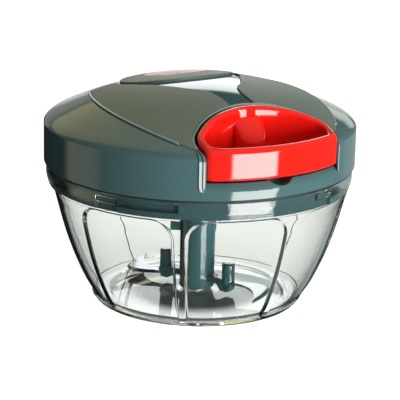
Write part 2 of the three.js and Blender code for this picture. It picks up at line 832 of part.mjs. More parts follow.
function makeGuide() {
  return turned(
    [
      [guideBore, 0],
      [guideSleeveRadius, 0],
      [guideSleeveRadius, guideFlangeY - recessBackY],
      [guideFlangeRadius, guideFlangeY - recessBackY],
      [guideFlangeRadius, guideFlangeY - recessBackY + guideFlangeThickness],
      [guideBore, guideFlangeY - recessBackY + guideFlangeThickness],
      [guideBore, 0],
    ],
    20,
  );
}

const hexRadius = (flats) => flats / 2 / Math.cos(Math.PI / 6);

function makeSocket() {
  const top = reelBottom - fitGap;
  const shankHole = rod(driveScrewRadius + fitGap, socketBottom, top + overrun, 12);
  const hexBore = rod(hexRadius(hexFlats + 2 * fitGap), socketBottom - overrun, socketBoreTop, 6);
  const body = solidOf(rod(socketRadius, socketBottom, top, 24));
  return geometryOf(body.subtract(solidOf(hexBore)).subtract(solidOf(shankHole)));
}

function makeDriveScrew() {
  const headBottom = socketBoreTop - fitGap - driveScrewHeadHeight;
  const length = driveScrewTop - headBottom - driveScrewHeadHeight;
  const profile = screwProfile(driveScrewHeadRadius, driveScrewHeadHeight, driveScrewRadius, length);
  return turned(profile, 12).translate(0, 0, headBottom);
}

// Blade set

function makeBlade() {
  const rootEnd = armReach + postRadius;
  const free = bladeReach - rootEnd;
  const place = ([along, sideways]) => [rootEnd + free * along, free * sideways];
  const [notchX, notchY] = place(bladeNotchShares);
  const shape = new THREE.Shape();
  shape.moveTo(bladeRootStart, -bladeRootHalfWidth);
  shape.lineTo(rootEnd, -bladeRootHalfWidth);
  shape.quadraticCurveTo(...place(bladeBackBendShares), ...place(bladeTipShares));
  shape.quadraticCurveTo(...place(bladeShoulderShares), notchX + bladeNotchSize, notchY);
  shape.lineTo(notchX, notchY - bladeNotchSize);
  shape.lineTo(notchX, notchY + bladeNotchSize / 2);
  shape.quadraticCurveTo(...place(bladeEdgeBendShares), rootEnd, bladeRootHalfWidth);
  shape.lineTo(bladeRootStart, bladeRootHalfWidth);
  return prism(shape, 0, bladeThickness, 8);
}

// A blade's slot in the carrier, along +X.
function bladeSlot(bottom) {
  const length = armReach + postRadius + overrun - bladeRootStart + fitGap;
  return new THREE.BoxGeometry(
    length,
    2 * (bladeRootHalfWidth + fitGap),
    bladeThickness + 2 * fitGap,
  ).translate(bladeRootStart - fitGap + length / 2, 0, bottom + bladeThickness / 2);
}

// An arm along +X with its upright post and the fin under it.
function carrierArm() {
  const arm = new THREE.BoxGeometry(armReach, armWidth, armTop - armBottom).translate(
    armReach / 2,
    0,
    (armTop + armBottom) / 2,
  );
  const post = rod(postRadius, armBottom, postTop, 16).translate(armReach, 0, 0);
  const half = postRadius;
  const fin = new THREE.Shape();
  fin.moveTo(armReach - 2 * half, armBottom + overrun);
  fin.lineTo(armReach - 2 * half * finTipShare, finBottom);
  fin.lineTo(armReach + half * finTipShare, finBottom);
  fin.lineTo(armReach + half, armBottom + overrun);
  const upright = new THREE.ExtrudeGeometry(fin, { depth: finWidth, bevelEnabled: false })
    .translate(0, 0, -finWidth / 2)
    .rotateX(Math.PI / 2);
  return solidOf(arm).add(solidOf(post)).add(solidOf(upright));
}

function makeColumn() {
  let column = solidOf(rod(columnRadius, columnBottom, columnTop, 24));
  column = column.add(solidOf(rod(hexRadius(hexFlats), columnTop - overrun, hexTop, 6)));
  const turn = (azimuth) => (angleOf(azimuth) * 180) / Math.PI;
  const lowerArm = carrierArm().subtract(solidOf(bladeSlot(lowerBladeBottom)));
  const upperArm = carrierArm().subtract(solidOf(bladeSlot(upperBladeBottom)));
  column = column.add(upperArm.rotate([0, 0, turn(armAzimuth)]));
  column = column.add(lowerArm.rotate([0, 0, turn(armAzimuth + 180)]));
  const tab = new THREE.BoxGeometry(tabReach, tabSize, tabSize).translate(
    tabReach / 2,
    0,
    tabHeight,
  );
  column = column.add(solidOf(tab).rotate([0, 0, turn(tabAzimuth)]));
  const bore = rod(pinRadius + fitGap, columnBottom - overrun, columnBoreTop);
  return geometryOf(column.subtract(solidOf(bore)));
}

// Materials, with the colours of the photograph

const finish = (color, roughness, metalness = 0) =>
  new THREE.MeshStandardMaterial({ color, roughness, metalness });

const clearPlastic = new THREE.MeshStandardMaterial({
  color: 0xe8f0ec,
  roughness: 0.05,
  transparent: true,
  opacity: 0.35,
});
const glossTeal = finish(0x46666a, 0.12);
const matteTeal = finish(0x5d6b60, 0.7);
const glossRed = finish(0xe81c14, 0.12);
const innerTeal = finish(0x2f4a4e, 0.3);
const whiteNylon = finish(0xe6e4dc, 0.45);
const steel = finish(0xc4c8ca, 0.25, 1);
const blackRubber = finish(0x141616, 0.8);
const cordFibre = finish(0xd8d4c6, 0.9);

// Assembly

const chopper = new THREE.Group();

function place(parent, name, geometry, material) {
  const mesh = new THREE.Mesh(geometry, material);
  mesh.name = name;
  parent.add(mesh);
  return mesh;
}

function subgroup(parent) {
  const group = new THREE.Group();
  parent.add(group);
  return group;
}

const bowlGroup = subgroup(chopper);
place(bowlGroup, "bowl", makeBowl(), clearPlastic);
place(bowlGroup, "spindle_pin", makeSpindlePin(), steel);

const lid = subgroup(chopper);
place(lid, "lid_seal", makeSeal(), blackRubber);
place(lid, "lid_base", makeLidBase(), glossTeal);
place(lid, "lid_cover", makeLidCover(), glossTeal);
place(lid, "left_pad", makePad(-1), matteTeal);
place(lid, "right_pad", makePad(1), matteTeal);
place(lid, "top_medallion", makeMedallion(), matteTeal);
place(lid, "badge_inlay", makeBadge(), glossRed);
place(lid, "reel_housing", makeHousing(), whiteNylon);
place(lid, "spring_cover", makeSpringCover(), steel);
place(lid, "reel_axle", makeAxle(), steel);
const guide = place(lid, "cord_guide", makeGuide(), steel);
guide.position.set(0, recessBackY, cordHeight);
guide.rotation.x = -Math.PI / 2;
place(lid, "pull_cord", makeCord(), cordFibre);

lidScrewPlaces.forEach(([x, y], i) => {
  const profile = screwProfile(
    lidScrewHeadRadius,
    lidScrewHeadHeight,
    lidScrewRadius,
    lidScrewLength,
  );
  const screw = place(lid, `lid_screw_${i + 1}`, turned(profile, 12), steel);
  screw.position.set(x, y, plateBottom - lidScrewHeadHeight);
});

coverScrewPlaces.forEach(([x, y], i) => {
  const profile = screwProfile(
    coverScrewHeadRadius,
    coverScrewHeadHeight,
    coverScrewRadius,
    coverScrewLength,
  );
  const screw = place(lid, `cover_screw_${i + 1}`, turned(profile, 12), steel);
  screw.position.set(x, y, housingTop + coverThickness + coverScrewHeadHeight);
  screw.rotation.x = Math.PI;
});

const reel = subgroup(chopper);
place(reel, "cord_reel", makeReel(), whiteNylon);
place(reel, "cord_winding", makeWinding(), cordFibre);
place(reel, "recoil_spring", makeSpring(), steel);
place(reel, "drive_socket", makeSocket(), whiteNylon);
place(reel, "drive_screw", makeDriveScrew(), steel);
const washerTop = reelBottom - fitGap;
const washer = tube(socketRadius + fitGap, washerRadius, washerTop - washerThickness, washerTop);
place(reel, "thrust_washer", washer, steel);

const handle = subgroup(chopper);
place(handle, "pull_handle", makeHandle(), glossRed);
place(handle, "cord_knot", makeKnot(), cordFibre);

const bladeSet = subgroup(chopper);
place(bladeSet, "blade_column", makeColumn(), innerTeal);
const upperBlade = place(bladeSet, "upper_blade", makeBlade(), steel);
upperBlade.position.z = upperBladeBottom;
upperBlade.rotation.z = angleOf(armAzimuth);
const lowerBlade = place(bladeSet, "lower_blade", makeBlade(), steel);
lowerBlade.position.z = lowerBladeBottom;
lowerBlade.rotation.z = angleOf(armAzimuth + 180);

export default chopper;
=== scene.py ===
"""Pull-cord vegetable chopper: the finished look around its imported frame.

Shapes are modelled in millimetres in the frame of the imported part: +Z up, the handle towards -Y,
the origin in the middle of the foot. An azimuth is measured in degrees from -Y towards +X.
"""

from __future__ import annotations

import bisect
import json
import logging
import math
from collections.abc import Callable, Iterable, Sequence
from dataclasses import dataclass, field
from enum import Enum

import bmesh
import bpy
from mathutils import Matrix, Vector

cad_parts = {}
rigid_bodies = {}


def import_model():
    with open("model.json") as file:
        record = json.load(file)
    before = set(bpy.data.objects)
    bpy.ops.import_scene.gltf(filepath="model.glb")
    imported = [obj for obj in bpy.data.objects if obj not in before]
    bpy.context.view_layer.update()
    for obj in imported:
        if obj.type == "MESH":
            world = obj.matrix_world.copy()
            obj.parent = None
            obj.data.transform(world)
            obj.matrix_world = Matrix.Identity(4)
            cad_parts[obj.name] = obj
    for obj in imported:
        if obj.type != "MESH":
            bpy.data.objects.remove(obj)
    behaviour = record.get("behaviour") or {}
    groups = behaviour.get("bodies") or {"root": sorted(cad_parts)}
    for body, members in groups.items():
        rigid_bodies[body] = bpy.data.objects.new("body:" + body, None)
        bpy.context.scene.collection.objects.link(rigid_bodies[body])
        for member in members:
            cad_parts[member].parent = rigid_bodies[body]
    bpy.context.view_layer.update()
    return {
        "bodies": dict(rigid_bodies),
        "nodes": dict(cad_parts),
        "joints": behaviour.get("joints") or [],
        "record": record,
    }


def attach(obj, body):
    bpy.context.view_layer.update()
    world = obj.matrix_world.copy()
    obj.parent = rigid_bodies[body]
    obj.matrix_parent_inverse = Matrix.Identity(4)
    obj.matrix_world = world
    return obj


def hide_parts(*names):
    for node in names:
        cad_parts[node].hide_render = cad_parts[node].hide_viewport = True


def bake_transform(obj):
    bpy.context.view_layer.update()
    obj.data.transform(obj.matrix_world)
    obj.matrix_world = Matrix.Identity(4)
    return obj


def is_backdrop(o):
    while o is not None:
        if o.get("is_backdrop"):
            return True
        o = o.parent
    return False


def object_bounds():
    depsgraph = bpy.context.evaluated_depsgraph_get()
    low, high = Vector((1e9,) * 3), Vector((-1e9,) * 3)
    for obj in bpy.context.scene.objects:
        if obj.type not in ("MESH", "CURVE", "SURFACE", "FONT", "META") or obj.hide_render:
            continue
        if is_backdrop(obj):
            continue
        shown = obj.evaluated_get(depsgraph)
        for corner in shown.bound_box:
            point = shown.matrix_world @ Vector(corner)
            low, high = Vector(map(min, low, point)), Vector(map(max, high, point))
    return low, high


LOG = logging.getLogger("chopper")
METRES_PER_MM = 0.001
TINY = 1e-4  # millimetres, below which two places are one
OVERRUN = 1  # millimetres that a cutting solid reaches past what it cuts

Point = tuple[float, float]
Colour = tuple[float, float, float]

WHITE: Colour = (1, 1, 1)


class Body(Enum):
    """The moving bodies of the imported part."""

    BOWL = "bowl"
    SEAL = "seal"
    LID = "lid"
    REEL = "reel"
    HANDLE = "handle"
    BLADES = "blades"


class Slot(Enum):
    """The record's material slots."""

    CLEAR = "clear_plastic"
    GLOSS_TEAL = "gloss_teal"
    MATTE_TEAL = "matte_teal"
    GLOSS_RED = "gloss_red"
    INNER_TEAL = "inner_teal"
    WHITE_NYLON = "white_nylon"
    STEEL = "steel"
    RUBBER = "black_rubber"
    CORD = "cord"


class Trim(Enum):
    """Finishes that differ a little from their record slot's, to paint a highlight on the beads and
    shade on the skirt.
    """

    # Lighter teal that paints a highlight along the recess rim and the pad beads.
    PAINTED_HIGHLIGHT = "edge_teal"
    # Darker teal that paints the shade on the skirt seen through the bowl's rim.
    SHADED_SKIRT = "skirt_teal"


class Combine(Enum):
    """How one solid is combined with another."""

    JOIN = "UNION"
    CUT = "DIFFERENCE"
    KEEP = "INTERSECT"


def towards(azimuth: float, radius: float) -> Vector:
    """The level direction at an azimuth, as long as the radius."""
    angle = math.radians(azimuth)
    return Vector((math.sin(angle) * radius, -math.cos(angle) * radius, 0))


def eased(low: float, high: float, value: float) -> float:
    """A smooth step from 0 at low to 1 at high."""
    share = min(1.0, max(0.0, (value - low) / (high - low)))
    return share * share * (3 - 2 * share)


def curve_through(points: Sequence[Point], steps: int) -> list[Point]:
    """A smooth line through some points.

    Args:
        points: The points, in order.
        steps: How many pieces each stretch between two points is cut into.

    Returns:
        The points of the finer line, both ends included.
    """
    ends = [points[0], *points, points[-1]]
    line = []
    for before, start, end, after in zip(ends, ends[1:], ends[2:], ends[3:]):
        for step in range(steps):
            t = step / steps
            line.append(
                tuple(
                    0.5
                    * (
                        2 * b
                        + (c - a) * t
                        + (2 * a - 5 * b + 4 * c - d) * t * t
                        + (3 * b - a - 3 * c + d) * t**3
                    )
                    for a, b, c, d in zip(before, start, end, after)
                )
            )
    return [*line, points[-1]]


def bend(start: Point, middle: Point, end: Point, steps: int = 10) -> list[Point]:
    """A bend from one point to another, drawn towards a third.

    Args:
        start: Where it starts.
        middle: The point that it is drawn towards.
        end: Where it ends.
        steps: How many pieces it is cut into.

    Returns:
        Its points without the start.
    """
    line = []
    for step in range(1, steps + 1):
        t = step / steps
        line.append(
            tuple(
                a * (1 - t) ** 2 + b * 2 * t * (1 - t) + c * t * t
                for a, b, c in zip(start, middle, end)
            )
        )
    return line


def arc(centre: Point, radius: float, start: float, end: float, steps: int) -> list[Point]:
    """Points along part of a circle.

    Args:
        centre: The circle's centre.
        radius: Its radius.
        start: The angle in radians that the points start at.
        end: The angle that they end at.
        steps: How many pieces the arc is cut into.

    Returns:
        The points, both ends included.
    """
    return [
        (
            centre[0] + radius * math.cos(start + (end - start) * step / steps),
            centre[1] + radius * math.sin(start + (end - start) * step / steps),
        )
        for step in range(steps + 1)
    ]


def circle(radius: float, steps: int, centre: Point = (0, 0)) -> list[Point]:
    """The points of a whole circle."""
    return arc(centre, radius, 0, 2 * math.pi, steps)[:-1]


def ellipse(half_length: float, half_width: float, y: float, steps: int = 96) -> list[Point]:
    """The outline of an ellipse on the Y axis, seen from above."""
    return [(half_length * x, y + half_width * v) for x, v in circle(1, steps)]


def filleted(corners: Sequence[tuple[float, float, float]], steps: int = 5) -> list[Point]:
    """A line with its corners rounded.

    Args:
        corners: Each corner's two places and the radius that rounds it, 0 for a sharp one.
        steps: How many pieces each rounding is cut into.

    Returns:
        The points of the rounded line.
    """
    line: list[Point] = []
    for index, (x, y, radius) in enumerate(corners):
        if radius <= 0 or index in (0, len(corners) - 1):
            line.append((x, y))
            continue
        here = Vector((x, y))
        back = (Vector(corners[index - 1][:2]) - here).normalized()
        ahead = (Vector(corners[index + 1][:2]) - here).normalized()
        half = back.angle(ahead) / 2
        start = here + back * (radius / math.tan(half))
        end = here + ahead * (radius / math.tan(half))
        for step in range(steps + 1):
            t = step / steps
            place = start * (1 - t) ** 2 + here * (2 * t * (1 - t)) + end * t * t
            line.append((place.x, place.y))
    return line


class Solid:
    """A closed shape in millimetres, held as a bmesh."""

    def __init__(self, mesh: bmesh.types.BMesh) -> None:
        """Holds a mesh.

        Args:
            mesh: The mesh, which this solid then owns.
        """
        self.mesh = mesh

    @classmethod
    def lathe(cls, profile: Sequence[Point], steps: int = 256) -> Solid:
        """Turns a profile of radius and height about the Z axis.

        Args:
            profile: The points. Where both ends lie off the axis, the last joins the first.
            steps: How many steps make the full turn.

        Returns:
            The turned solid.
        """
        mesh = bmesh.new()
        ring = [mesh.verts.new((radius, 0, height)) for radius, height in profile]
        edges = [mesh.edges.new(pair) for pair in zip(ring, ring[1:])]
        if max(profile[0][0], profile[-1][0]) > TINY:
            edges.append(mesh.edges.new((ring[-1], ring[0])))
        bmesh.ops.spin(
            mesh,
            geom=ring + edges,
            cent=(0, 0, 0),
            axis=(0, 0, 1),
            angle=2 * math.pi,
            steps=steps,
            use_merge=True,
        )
        return cls(mesh).tidied()

    @classmethod
    def prism(cls, outline: Sequence[Point], bottom: float, top: float) -> Solid:
        """Raises an outline between two heights.

        Args:
            outline: Its points, seen from above.
            bottom: The lower height.
            top: The upper height.

        Returns:
            The raised solid.
        """
        mesh = bmesh.new()
        face = mesh.faces.new([mesh.verts.new((x, y, bottom)) for x, y in outline])
        raised = bmesh.ops.extrude_face_region(mesh, geom=[face])["geom"]
        verts = [item for item in raised if isinstance(item, bmesh.types.BMVert)]
        bmesh.ops.translate(mesh, verts=verts, vec=(0, 0, top - bottom))
        return cls(mesh).tidied()

    @classmethod
    def stacked(cls, rings: Sequence[Sequence[Sequence[float]]]) -> Solid:
        """Skins a stack of closed rings and closes both ends.

        Args:
            rings: The rings, in order, of as many points each.

        Returns:
            The skinned solid.
        """
        mesh = bmesh.new()
        loops = [[mesh.verts.new(point) for point in ring] for ring in rings]
        for low, high in zip(loops, loops[1:]):
            for index in range(len(low)):
                after = (index + 1) % len(low)
                mesh.faces.new((low[index], low[after], high[after], high[index]))
        mesh.faces.new(loops[0][::-1])
        mesh.faces.new(loops[-1])
        return cls(mesh).tidied()

    @classmethod
    def sector(cls, radii: Point, azimuths: Point, heights: Point, steps: int = 10) -> Solid:
        """The part of a ring between two azimuths.

        Args:
            radii: Its inner and outer radius.
            azimuths: The azimuths that it lies between.
            heights: Its bottom and its top.
            steps: How many pieces each of its arcs is cut into.

        Returns:
            The solid.
        """
        angles = [math.radians(azimuth - 90) for azimuth in azimuths]
        outer = arc((0, 0), radii[1], angles[0], angles[1], steps)
        inner = arc((0, 0), radii[0], angles[1], angles[0], steps)
        return cls.prism([*outer, *inner], *heights)

    @classmethod
    def rod(cls, radius: float, bottom: float, top: float, bevel: float = 0.3) -> Solid:
        """An upright rod.

        Args:
            radius: Its radius.
            bottom: The height that it starts at.
            top: The height that it ends at.
            bevel: The radius that rounds its ends.

        Returns:
            The rod.
        """
        profile = [(0, bottom, 0), (radius, bottom, bevel), (radius, top, bevel), (0, top, 0)]
        return cls.lathe(filleted(profile, 3), 40)

    @classmethod
    def bead(
        cls,
        line: Sequence[Vector],
        section: Sequence[Point],
        normals: Sequence[Vector],
        scales: Sequence[float] | None = None,
    ) -> Solid:
        """A bead along a line, its ends closed.

        Args:
            line: The line's points.
            section: The bead's section, each point across the line and out along the normal.
            normals: The direction that the section's second axis takes at each point.
            scales: How large the section is at each point; full size without it.

        Returns:
            The bead.
        """
        rings = []
        for before, here, after, out, scale in zip(
            [line[0], *line], line, [*line[1:], line[-1]], normals, scales or [1] * len(line)
        ):
            ahead = (after - before).normalized()
            normal = (out - ahead * out.dot(ahead)).normalized()
            side = ahead.cross(normal)
            rings.append([here + (normal * v + side * u) * scale for u, v in section])
        return cls.stacked(rings)

    @classmethod
    def block(cls, low: Sequence[float], high: Sequence[float]) -> Solid:
        """A box.

        Args:
            low: Its lowest corner.
            high: Its highest corner.

        Returns:
            The box.
        """
        mesh = bmesh.new()
        bmesh.ops.create_cube(mesh, size=1)
        size = [b - a for a, b in zip(low, high)]
        middle = [(a + b) / 2 for a, b in zip(low, high)]
        bmesh.ops.scale(mesh, vec=size, verts=mesh.verts)
        bmesh.ops.translate(mesh, vec=middle, verts=mesh.verts)
        return cls(mesh)

    def tidied(self) -> Solid:
        """Merges doubles, drops slivers and points the faces outwards.

        Returns:
            The same solid.
        """
        bmesh.ops.remove_doubles(self.mesh, verts=self.mesh.verts, dist=TINY)
        bmesh.ops.dissolve_degenerate(self.mesh, edges=self.mesh.edges, dist=TINY)
        bmesh.ops.recalc_face_normals(self.mesh, faces=self.mesh.faces)
        return self

    def moved(self, x: float = 0, y: float = 0, z: float = 0) -> Solid:
        """Shifts the solid."""
        bmesh.ops.translate(self.mesh, vec=(x, y, z), verts=self.mesh.verts)
        return self

    def turned(self, degrees: float, axis: str = "Z") -> Solid:
        """Turns the solid about an axis through the origin.

        Args:
            degrees: How far it turns.
            axis: The axis, X, Y or Z.

        Returns:
            The same solid.
        """
        turn = Matrix.Rotation(math.radians(degrees), 3, axis)
        bmesh.ops.rotate(self.mesh, cent=(0, 0, 0), matrix=turn, verts=self.mesh.verts)
        return self

    def rounded(
        self,
        width: float,
        segments: int = 3,
        least: float = 35,
        where: Callable[[Vector], bool] | None = None,
    ) -> Solid:
        """Rounds the sharp edges.

        Args:
            width: How far the rounding reaches from each edge.
            segments: How many strips make it.
            least: The least angle in degrees between two faces that counts as sharp.
            where: Says of a place whether edges there are rounded; all are without it.

        Returns:
            The same solid.
        """
        edges = [
            edge
            for edge in self.mesh.edges
            if len(edge.link_faces) == 2
            and edge.calc_face_angle(0) > math.radians(least)
            and (where is None or all(where(vert.co) for vert in edge.verts))
        ]
        bmesh.ops.bevel(
            self.mesh,
            geom=edges,
            offset=width,
            segments=segments,
            profile=0.5,
            affect="EDGES",
            clamp_overlap=True,
            material=-1,
        )
        return self

    def combined(self, other: Solid, how: Combine) -> Solid:
        """Joins another solid to this one, cuts it away or keeps what both share.

        Args:
            other: The other solid, which is used up.
            how: How they are combined.

        Returns:
            The same solid, in its new shape.
        """
        target = self.stand_in("target")
        tool = other.stand_in("tool")
        modifier = target.modifiers.new("combine", "BOOLEAN")
        modifier.operation = how.value
        modifier.solver = "MANIFOLD"
        modifier.object = tool
        graph = bpy.context.evaluated_depsgraph_get()
        result = bpy.data.meshes.new_from_object(target.evaluated_get(graph))
        self.mesh.clear()
        self.mesh.from_mesh(result)
        for item in (target, tool):
            data = item.data
            bpy.data.objects.remove(item)
            bpy.data.meshes.remove(data)
        bpy.data.meshes.remove(result)
        other.mesh.free()
        bmesh.ops.remove_doubles(self.mesh, verts=self.mesh.verts, dist=TINY)
        bmesh.ops.dissolve_degenerate(self.mesh, edges=self.mesh.edges, dist=TINY)
        return self

    def added(self, other: Solid) -> Solid:
        """Takes in another solid as a separate part.

        Args:
            other: The other solid, which is used up.

        Returns:
            The same solid.
        """
        data = bpy.data.meshes.new("part")
        other.mesh.to_mesh(data)
        self.mesh.from_mesh(data)
        bpy.data.meshes.remove(data)
        other.mesh.free()
        return self

    def joined(self, other: Solid) -> Solid:
        """Joins another solid to this one."""
        return self.combined(other, Combine.JOIN)

    def cut(self, other: Solid) -> Solid:
        """Cuts another solid away."""
        return self.combined(other, Combine.CUT)

    def kept(self, other: Solid) -> Solid:
        """Keeps what both solids share."""
        return self.combined(other, Combine.KEEP)

    def copied(self) -> Solid:
        """A second solid of the same shape."""
        return Solid(self.mesh.copy())

    def stand_in(self, name: str) -> bpy.types.Object:
        """Links an object that has this mesh as it is.

        Args:
            name: The object's name.

        Returns:
            The object.
        """
        data = bpy.data.meshes.new(name)
        self.mesh.to_mesh(data)
        made = bpy.data.objects.new(name, data)
        bpy.context.scene.collection.objects.link(made)
        return made

    def piece(
        self, name: str, finish: bpy.types.Material, sharp: float = 38, weighted: bool = True
    ) -> bpy.types.Object:
        """Makes the finished piece, in metres.

        Args:
            name: The piece's name.
            finish: Its material.
            sharp: The angle in degrees from which an edge stays sharp in the shading.
            weighted: Whether large faces count more than small ones in the shading.

        Returns:
            The object, its place in its mesh.
        """
        bmesh.ops.scale(self.mesh, vec=(METRES_PER_MM,) * 3, verts=self.mesh.verts)
        for face in self.mesh.faces:
            face.smooth = True
        for edge in self.mesh.edges:
            flat = len(edge.link_faces) == 2
            edge.smooth = flat and edge.calc_face_angle(0) < math.radians(sharp)
        made = self.stand_in(name)
        made.data.materials.append(finish)
        if weighted:
            shading = made.modifiers.new("even_shading", "WEIGHTED_NORMAL")
            shading.keep_sharp = True
        self.mesh.free()
        LOG.info("%s: %d faces", name, len(made.data.polygons))
        return made


class Signal:
    """A node's output socket that adds Math nodes when it is used in an expression."""

    def __init__(self, graph: Graph, socket: bpy.types.NodeSocket) -> None:
        """Wraps a socket.

        Args:
            graph: The material's graph that the socket is in.
            socket: The output socket.
        """
        self.graph = graph
        self.socket = socket

    def maths(self, operation: str, first: Operand, second: Operand) -> Signal:
        """Adds one Math node."""
        return self.graph.node("ShaderNodeMath", {"operation": operation}, {0: first, 1: second})

    def __add__(self, other: Operand) -> Signal:
        """This plus the other."""
        return self.maths("ADD", self, other)

    __radd__ = __add__

    def __sub__(self, other: Operand) -> Signal:
        """This minus the other."""
        return self.maths("SUBTRACT", self, other)

    def __rsub__(self, other: Operand) -> Signal:
        """The other minus this."""
        return self.maths("SUBTRACT", other, self)

    def __mul__(self, other: Operand) -> Signal:
        """This times the other."""
        return self.maths("MULTIPLY", self, other)

    __rmul__ = __mul__


Operand = Signal | float


class Graph:
    """The node graph of one material or world."""

    def __init__(self, owner: bpy.types.Material | bpy.types.World) -> None:
        """Empties the owner's graph.

        Args:
            owner: The material or world.
        """
        owner.use_nodes = True
        self.tree = owner.node_tree
        self.tree.nodes.clear()

    def node(
        self,
        kind: str,
        settings: dict | None = None,
        inputs: dict | None = None,
        output: int | str = 0,
    ) -> Signal:
        """Adds a node.

        Args:
            kind: The node's type.
            settings: Its own settings; "stops" gives a ramp's places and colours.
            inputs: A value or a Signal for each socket, by name or number.
            output: The output that is returned, by name or number.

        Returns:
            That output.
        """
        made = self.tree.nodes.new(kind)
        for name, value in (settings or {}).items():
            if name == "stops":
                ramp = made.color_ramp.elements
                while len(ramp) < len(value):
                    ramp.new(1)
                for stop, (place, colour) in zip(ramp, value):
                    stop.position = place
                    stop.color = colour
            else:
                setattr(made, name, value)
        for name, value in (inputs or {}).items():
            if isinstance(value, Signal):
                self.tree.links.new(value.socket, made.inputs[name])
            else:
                made.inputs[name].default_value = value
        return Signal(self, made.outputs[output] if made.outputs else None)

    def place(self) -> Signal:
        """The Object coordinates."""
        return self.node("ShaderNodeTexCoord", output="Object")

    def noise(self, size: float, detail: float = 2, place: Signal | None = None) -> Signal:
        """Noise whose features are about this many millimetres across.

        Args:
            size: The features' size.
            detail: How many finer layers are added.
            place: The place that it is read at, the object's own without it.

        Returns:
            The noise, from 0 to 1.
        """
        return self.node(
            "ShaderNodeTexNoise",
            {"noise_dimensions": "3D"},
            {
                "Vector": place or self.place(),
                "Scale": 1 / (size * METRES_PER_MM),
                "Detail": detail,
            },
            "Fac",
        )

    def blend(self, factor: Operand, first: Operand, second: Operand) -> Signal:
        """Mixes two colours."""
        return self.node(
            "ShaderNodeMix",
            {"data_type": "RGBA"},
            {0: factor, 6: first, 7: second},
            2,
        )

    def dot(self, first: Signal, second: Sequence[float]) -> Signal:
        """The dot product of a vector with a fixed one."""
        return self.node(
            "ShaderNodeVectorMath",
            {"operation": "DOT_PRODUCT"},
            {0: first, 1: tuple(second)},
            "Value",
        )

    def step(self, value: Signal, low: float, high: float) -> Signal:
        """A smooth step from 0 where the value is low to 1 where it is high."""
        return self.node(
            "ShaderNodeMapRange",
            {"interpolation_type": "SMOOTHSTEP"},
            {"Value": value, "From Min": low, "From Max": high},
        )

    def ray(self, output: str) -> Signal:
        """What a Light Path output says of the ray."""
        return self.node("ShaderNodeLightPath", output=output)

    def clear_view(self) -> Signal:
        """Whether a thing is seen straight or through clear plastic alone.

        Returns:
            1 where it is, 0 where it is only mirrored.
        """
        turned = self.ray("Diffuse Depth") + self.ray("Glossy Depth")
        direct = 1 - turned.maths("MINIMUM", turned, 1)
        return self.ray("Is Camera Ray") + self.ray("Is Transmission Ray") * direct

    def bump(self, height: Signal, depth: float, strength: float = 1) -> Signal:
        """A normal from a height, which is as deep as so many millimetres."""
        return self.node(
            "ShaderNodeBump",
            None,
            {"Height": height, "Distance": depth * METRES_PER_MM, "Strength": strength},
        )

    def principled(self, inputs: dict) -> Signal:
        """Adds a Principled shader."""
        return self.node("ShaderNodeBsdfPrincipled", None, inputs)

    def mixed(self, factor: Signal, first: Signal, second: Signal) -> Signal:
        """Mixes two shaders."""
        return self.node("ShaderNodeMixShader", None, {0: factor, 1: first, 2: second})

    def surface(self, shader: Signal) -> None:
        """Makes a shader the material's surface."""
        self.node("ShaderNodeOutputMaterial", None, {"Surface": shader})


def rgba(colour: Sequence[float], share: float = 1.0) -> tuple[float, float, float, float]:
    """A share of a colour, with full alpha."""
    return (*(channel * share for channel in colour), 1.0)


def from_hex(code: int) -> Colour:
    """The linear colour of an sRGB colour code.

    Args:
        code: Its red, green and blue byte in one number.

    Returns:
        Red, green and blue from 0 to 1.
    """

    def linear(value: float) -> float:
        """One channel."""
        return value / 12.92 if value <= 0.04045 else ((value + 0.055) / 1.055) ** 2.4

    return tuple(linear(((code >> shift) & 255) / 255) for shift in (16, 8, 0))


@dataclass(frozen=True)
class Plastic:
    """A moulded plastic, glossy or grained."""

    name: str
    colour: int
    shade: float = 0.12
    roughness: float = 0.1
    roughness_spread: float = 0.04
    coat: float = 0.0
    wave_size: float = 9.0
    wave_depth: float = 0.004
    grain_size: float = 0.35
    grain_depth: float = 0.0
    ior: float = 1.5
    specular: float = 0.5
    broad_share: float = 0.7
    coat_roughness: float = 0.03

    def material(self) -> bpy.types.Material:
        """Builds the material.

        Returns:
            The material, its pattern on Object coordinates.
        """
        made = bpy.data.materials.new(self.name)
        graph = Graph(made)
        place = graph.place()
        broad = graph.noise(self.wave_size, 2, place)
        fine = graph.noise(self.grain_size, 3, place)
        base = from_hex(self.colour)
        cloud = broad * self.broad_share + fine * (1 - self.broad_share)
        spread = (broad * 0.5 + fine * 0.5 - 0.5) * self.roughness_spread * 2
        height = broad * self.wave_depth + fine * self.grain_depth
        shader = graph.principled(
            {
                "Base Color": graph.blend(
                    cloud, rgba(base, 1 - self.shade), rgba(base, 1 + self.shade)
                ),
                "Roughness": self.roughness + spread,
                "Normal": graph.bump(height, 1.0),
                "IOR": self.ior,
                "Specular IOR Level": self.specular,
                "Coat Weight": self.coat,
                "Coat Roughness": self.coat_roughness,
            }
        )
        graph.surface(shader)
        return made


@dataclass(frozen=True)
class ClearPlastic:
    """The bowl's clear plastic, faintly green, which lets the lamps through."""

    name: str = "clear_plastic"
    tint: Colour = (0.955, 0.975, 0.965)
    ior: float = 1.45
    roughness: float = 0.012
    shadow: Colour = (0.96, 0.97, 0.965)
    smear_size: float = 14
    ripple_size: float = 18
    ripple_depth: float = 0.012

    def material(self) -> bpy.types.Material:
        """Builds the material.

        Returns:
            The material.
        """
        made = bpy.data.materials.new(self.name)
        graph = Graph(made)
        smear = graph.noise(self.smear_size, 3)
        glass = graph.principled(
            {
                "Base Color": rgba(self.tint),
                "Roughness": self.roughness * 0.5 + smear * self.roughness,
                "Normal": graph.bump(graph.noise(self.ripple_size, 1), self.ripple_depth),
                "IOR": self.ior,
                "Transmission Weight": 1.0,
            }
        )
        through = graph.node("ShaderNodeBsdfTransparent", None, {"Color": rgba(self.shadow)})
        graph.surface(graph.mixed(graph.ray("Is Shadow Ray"), glass, through))
        return made


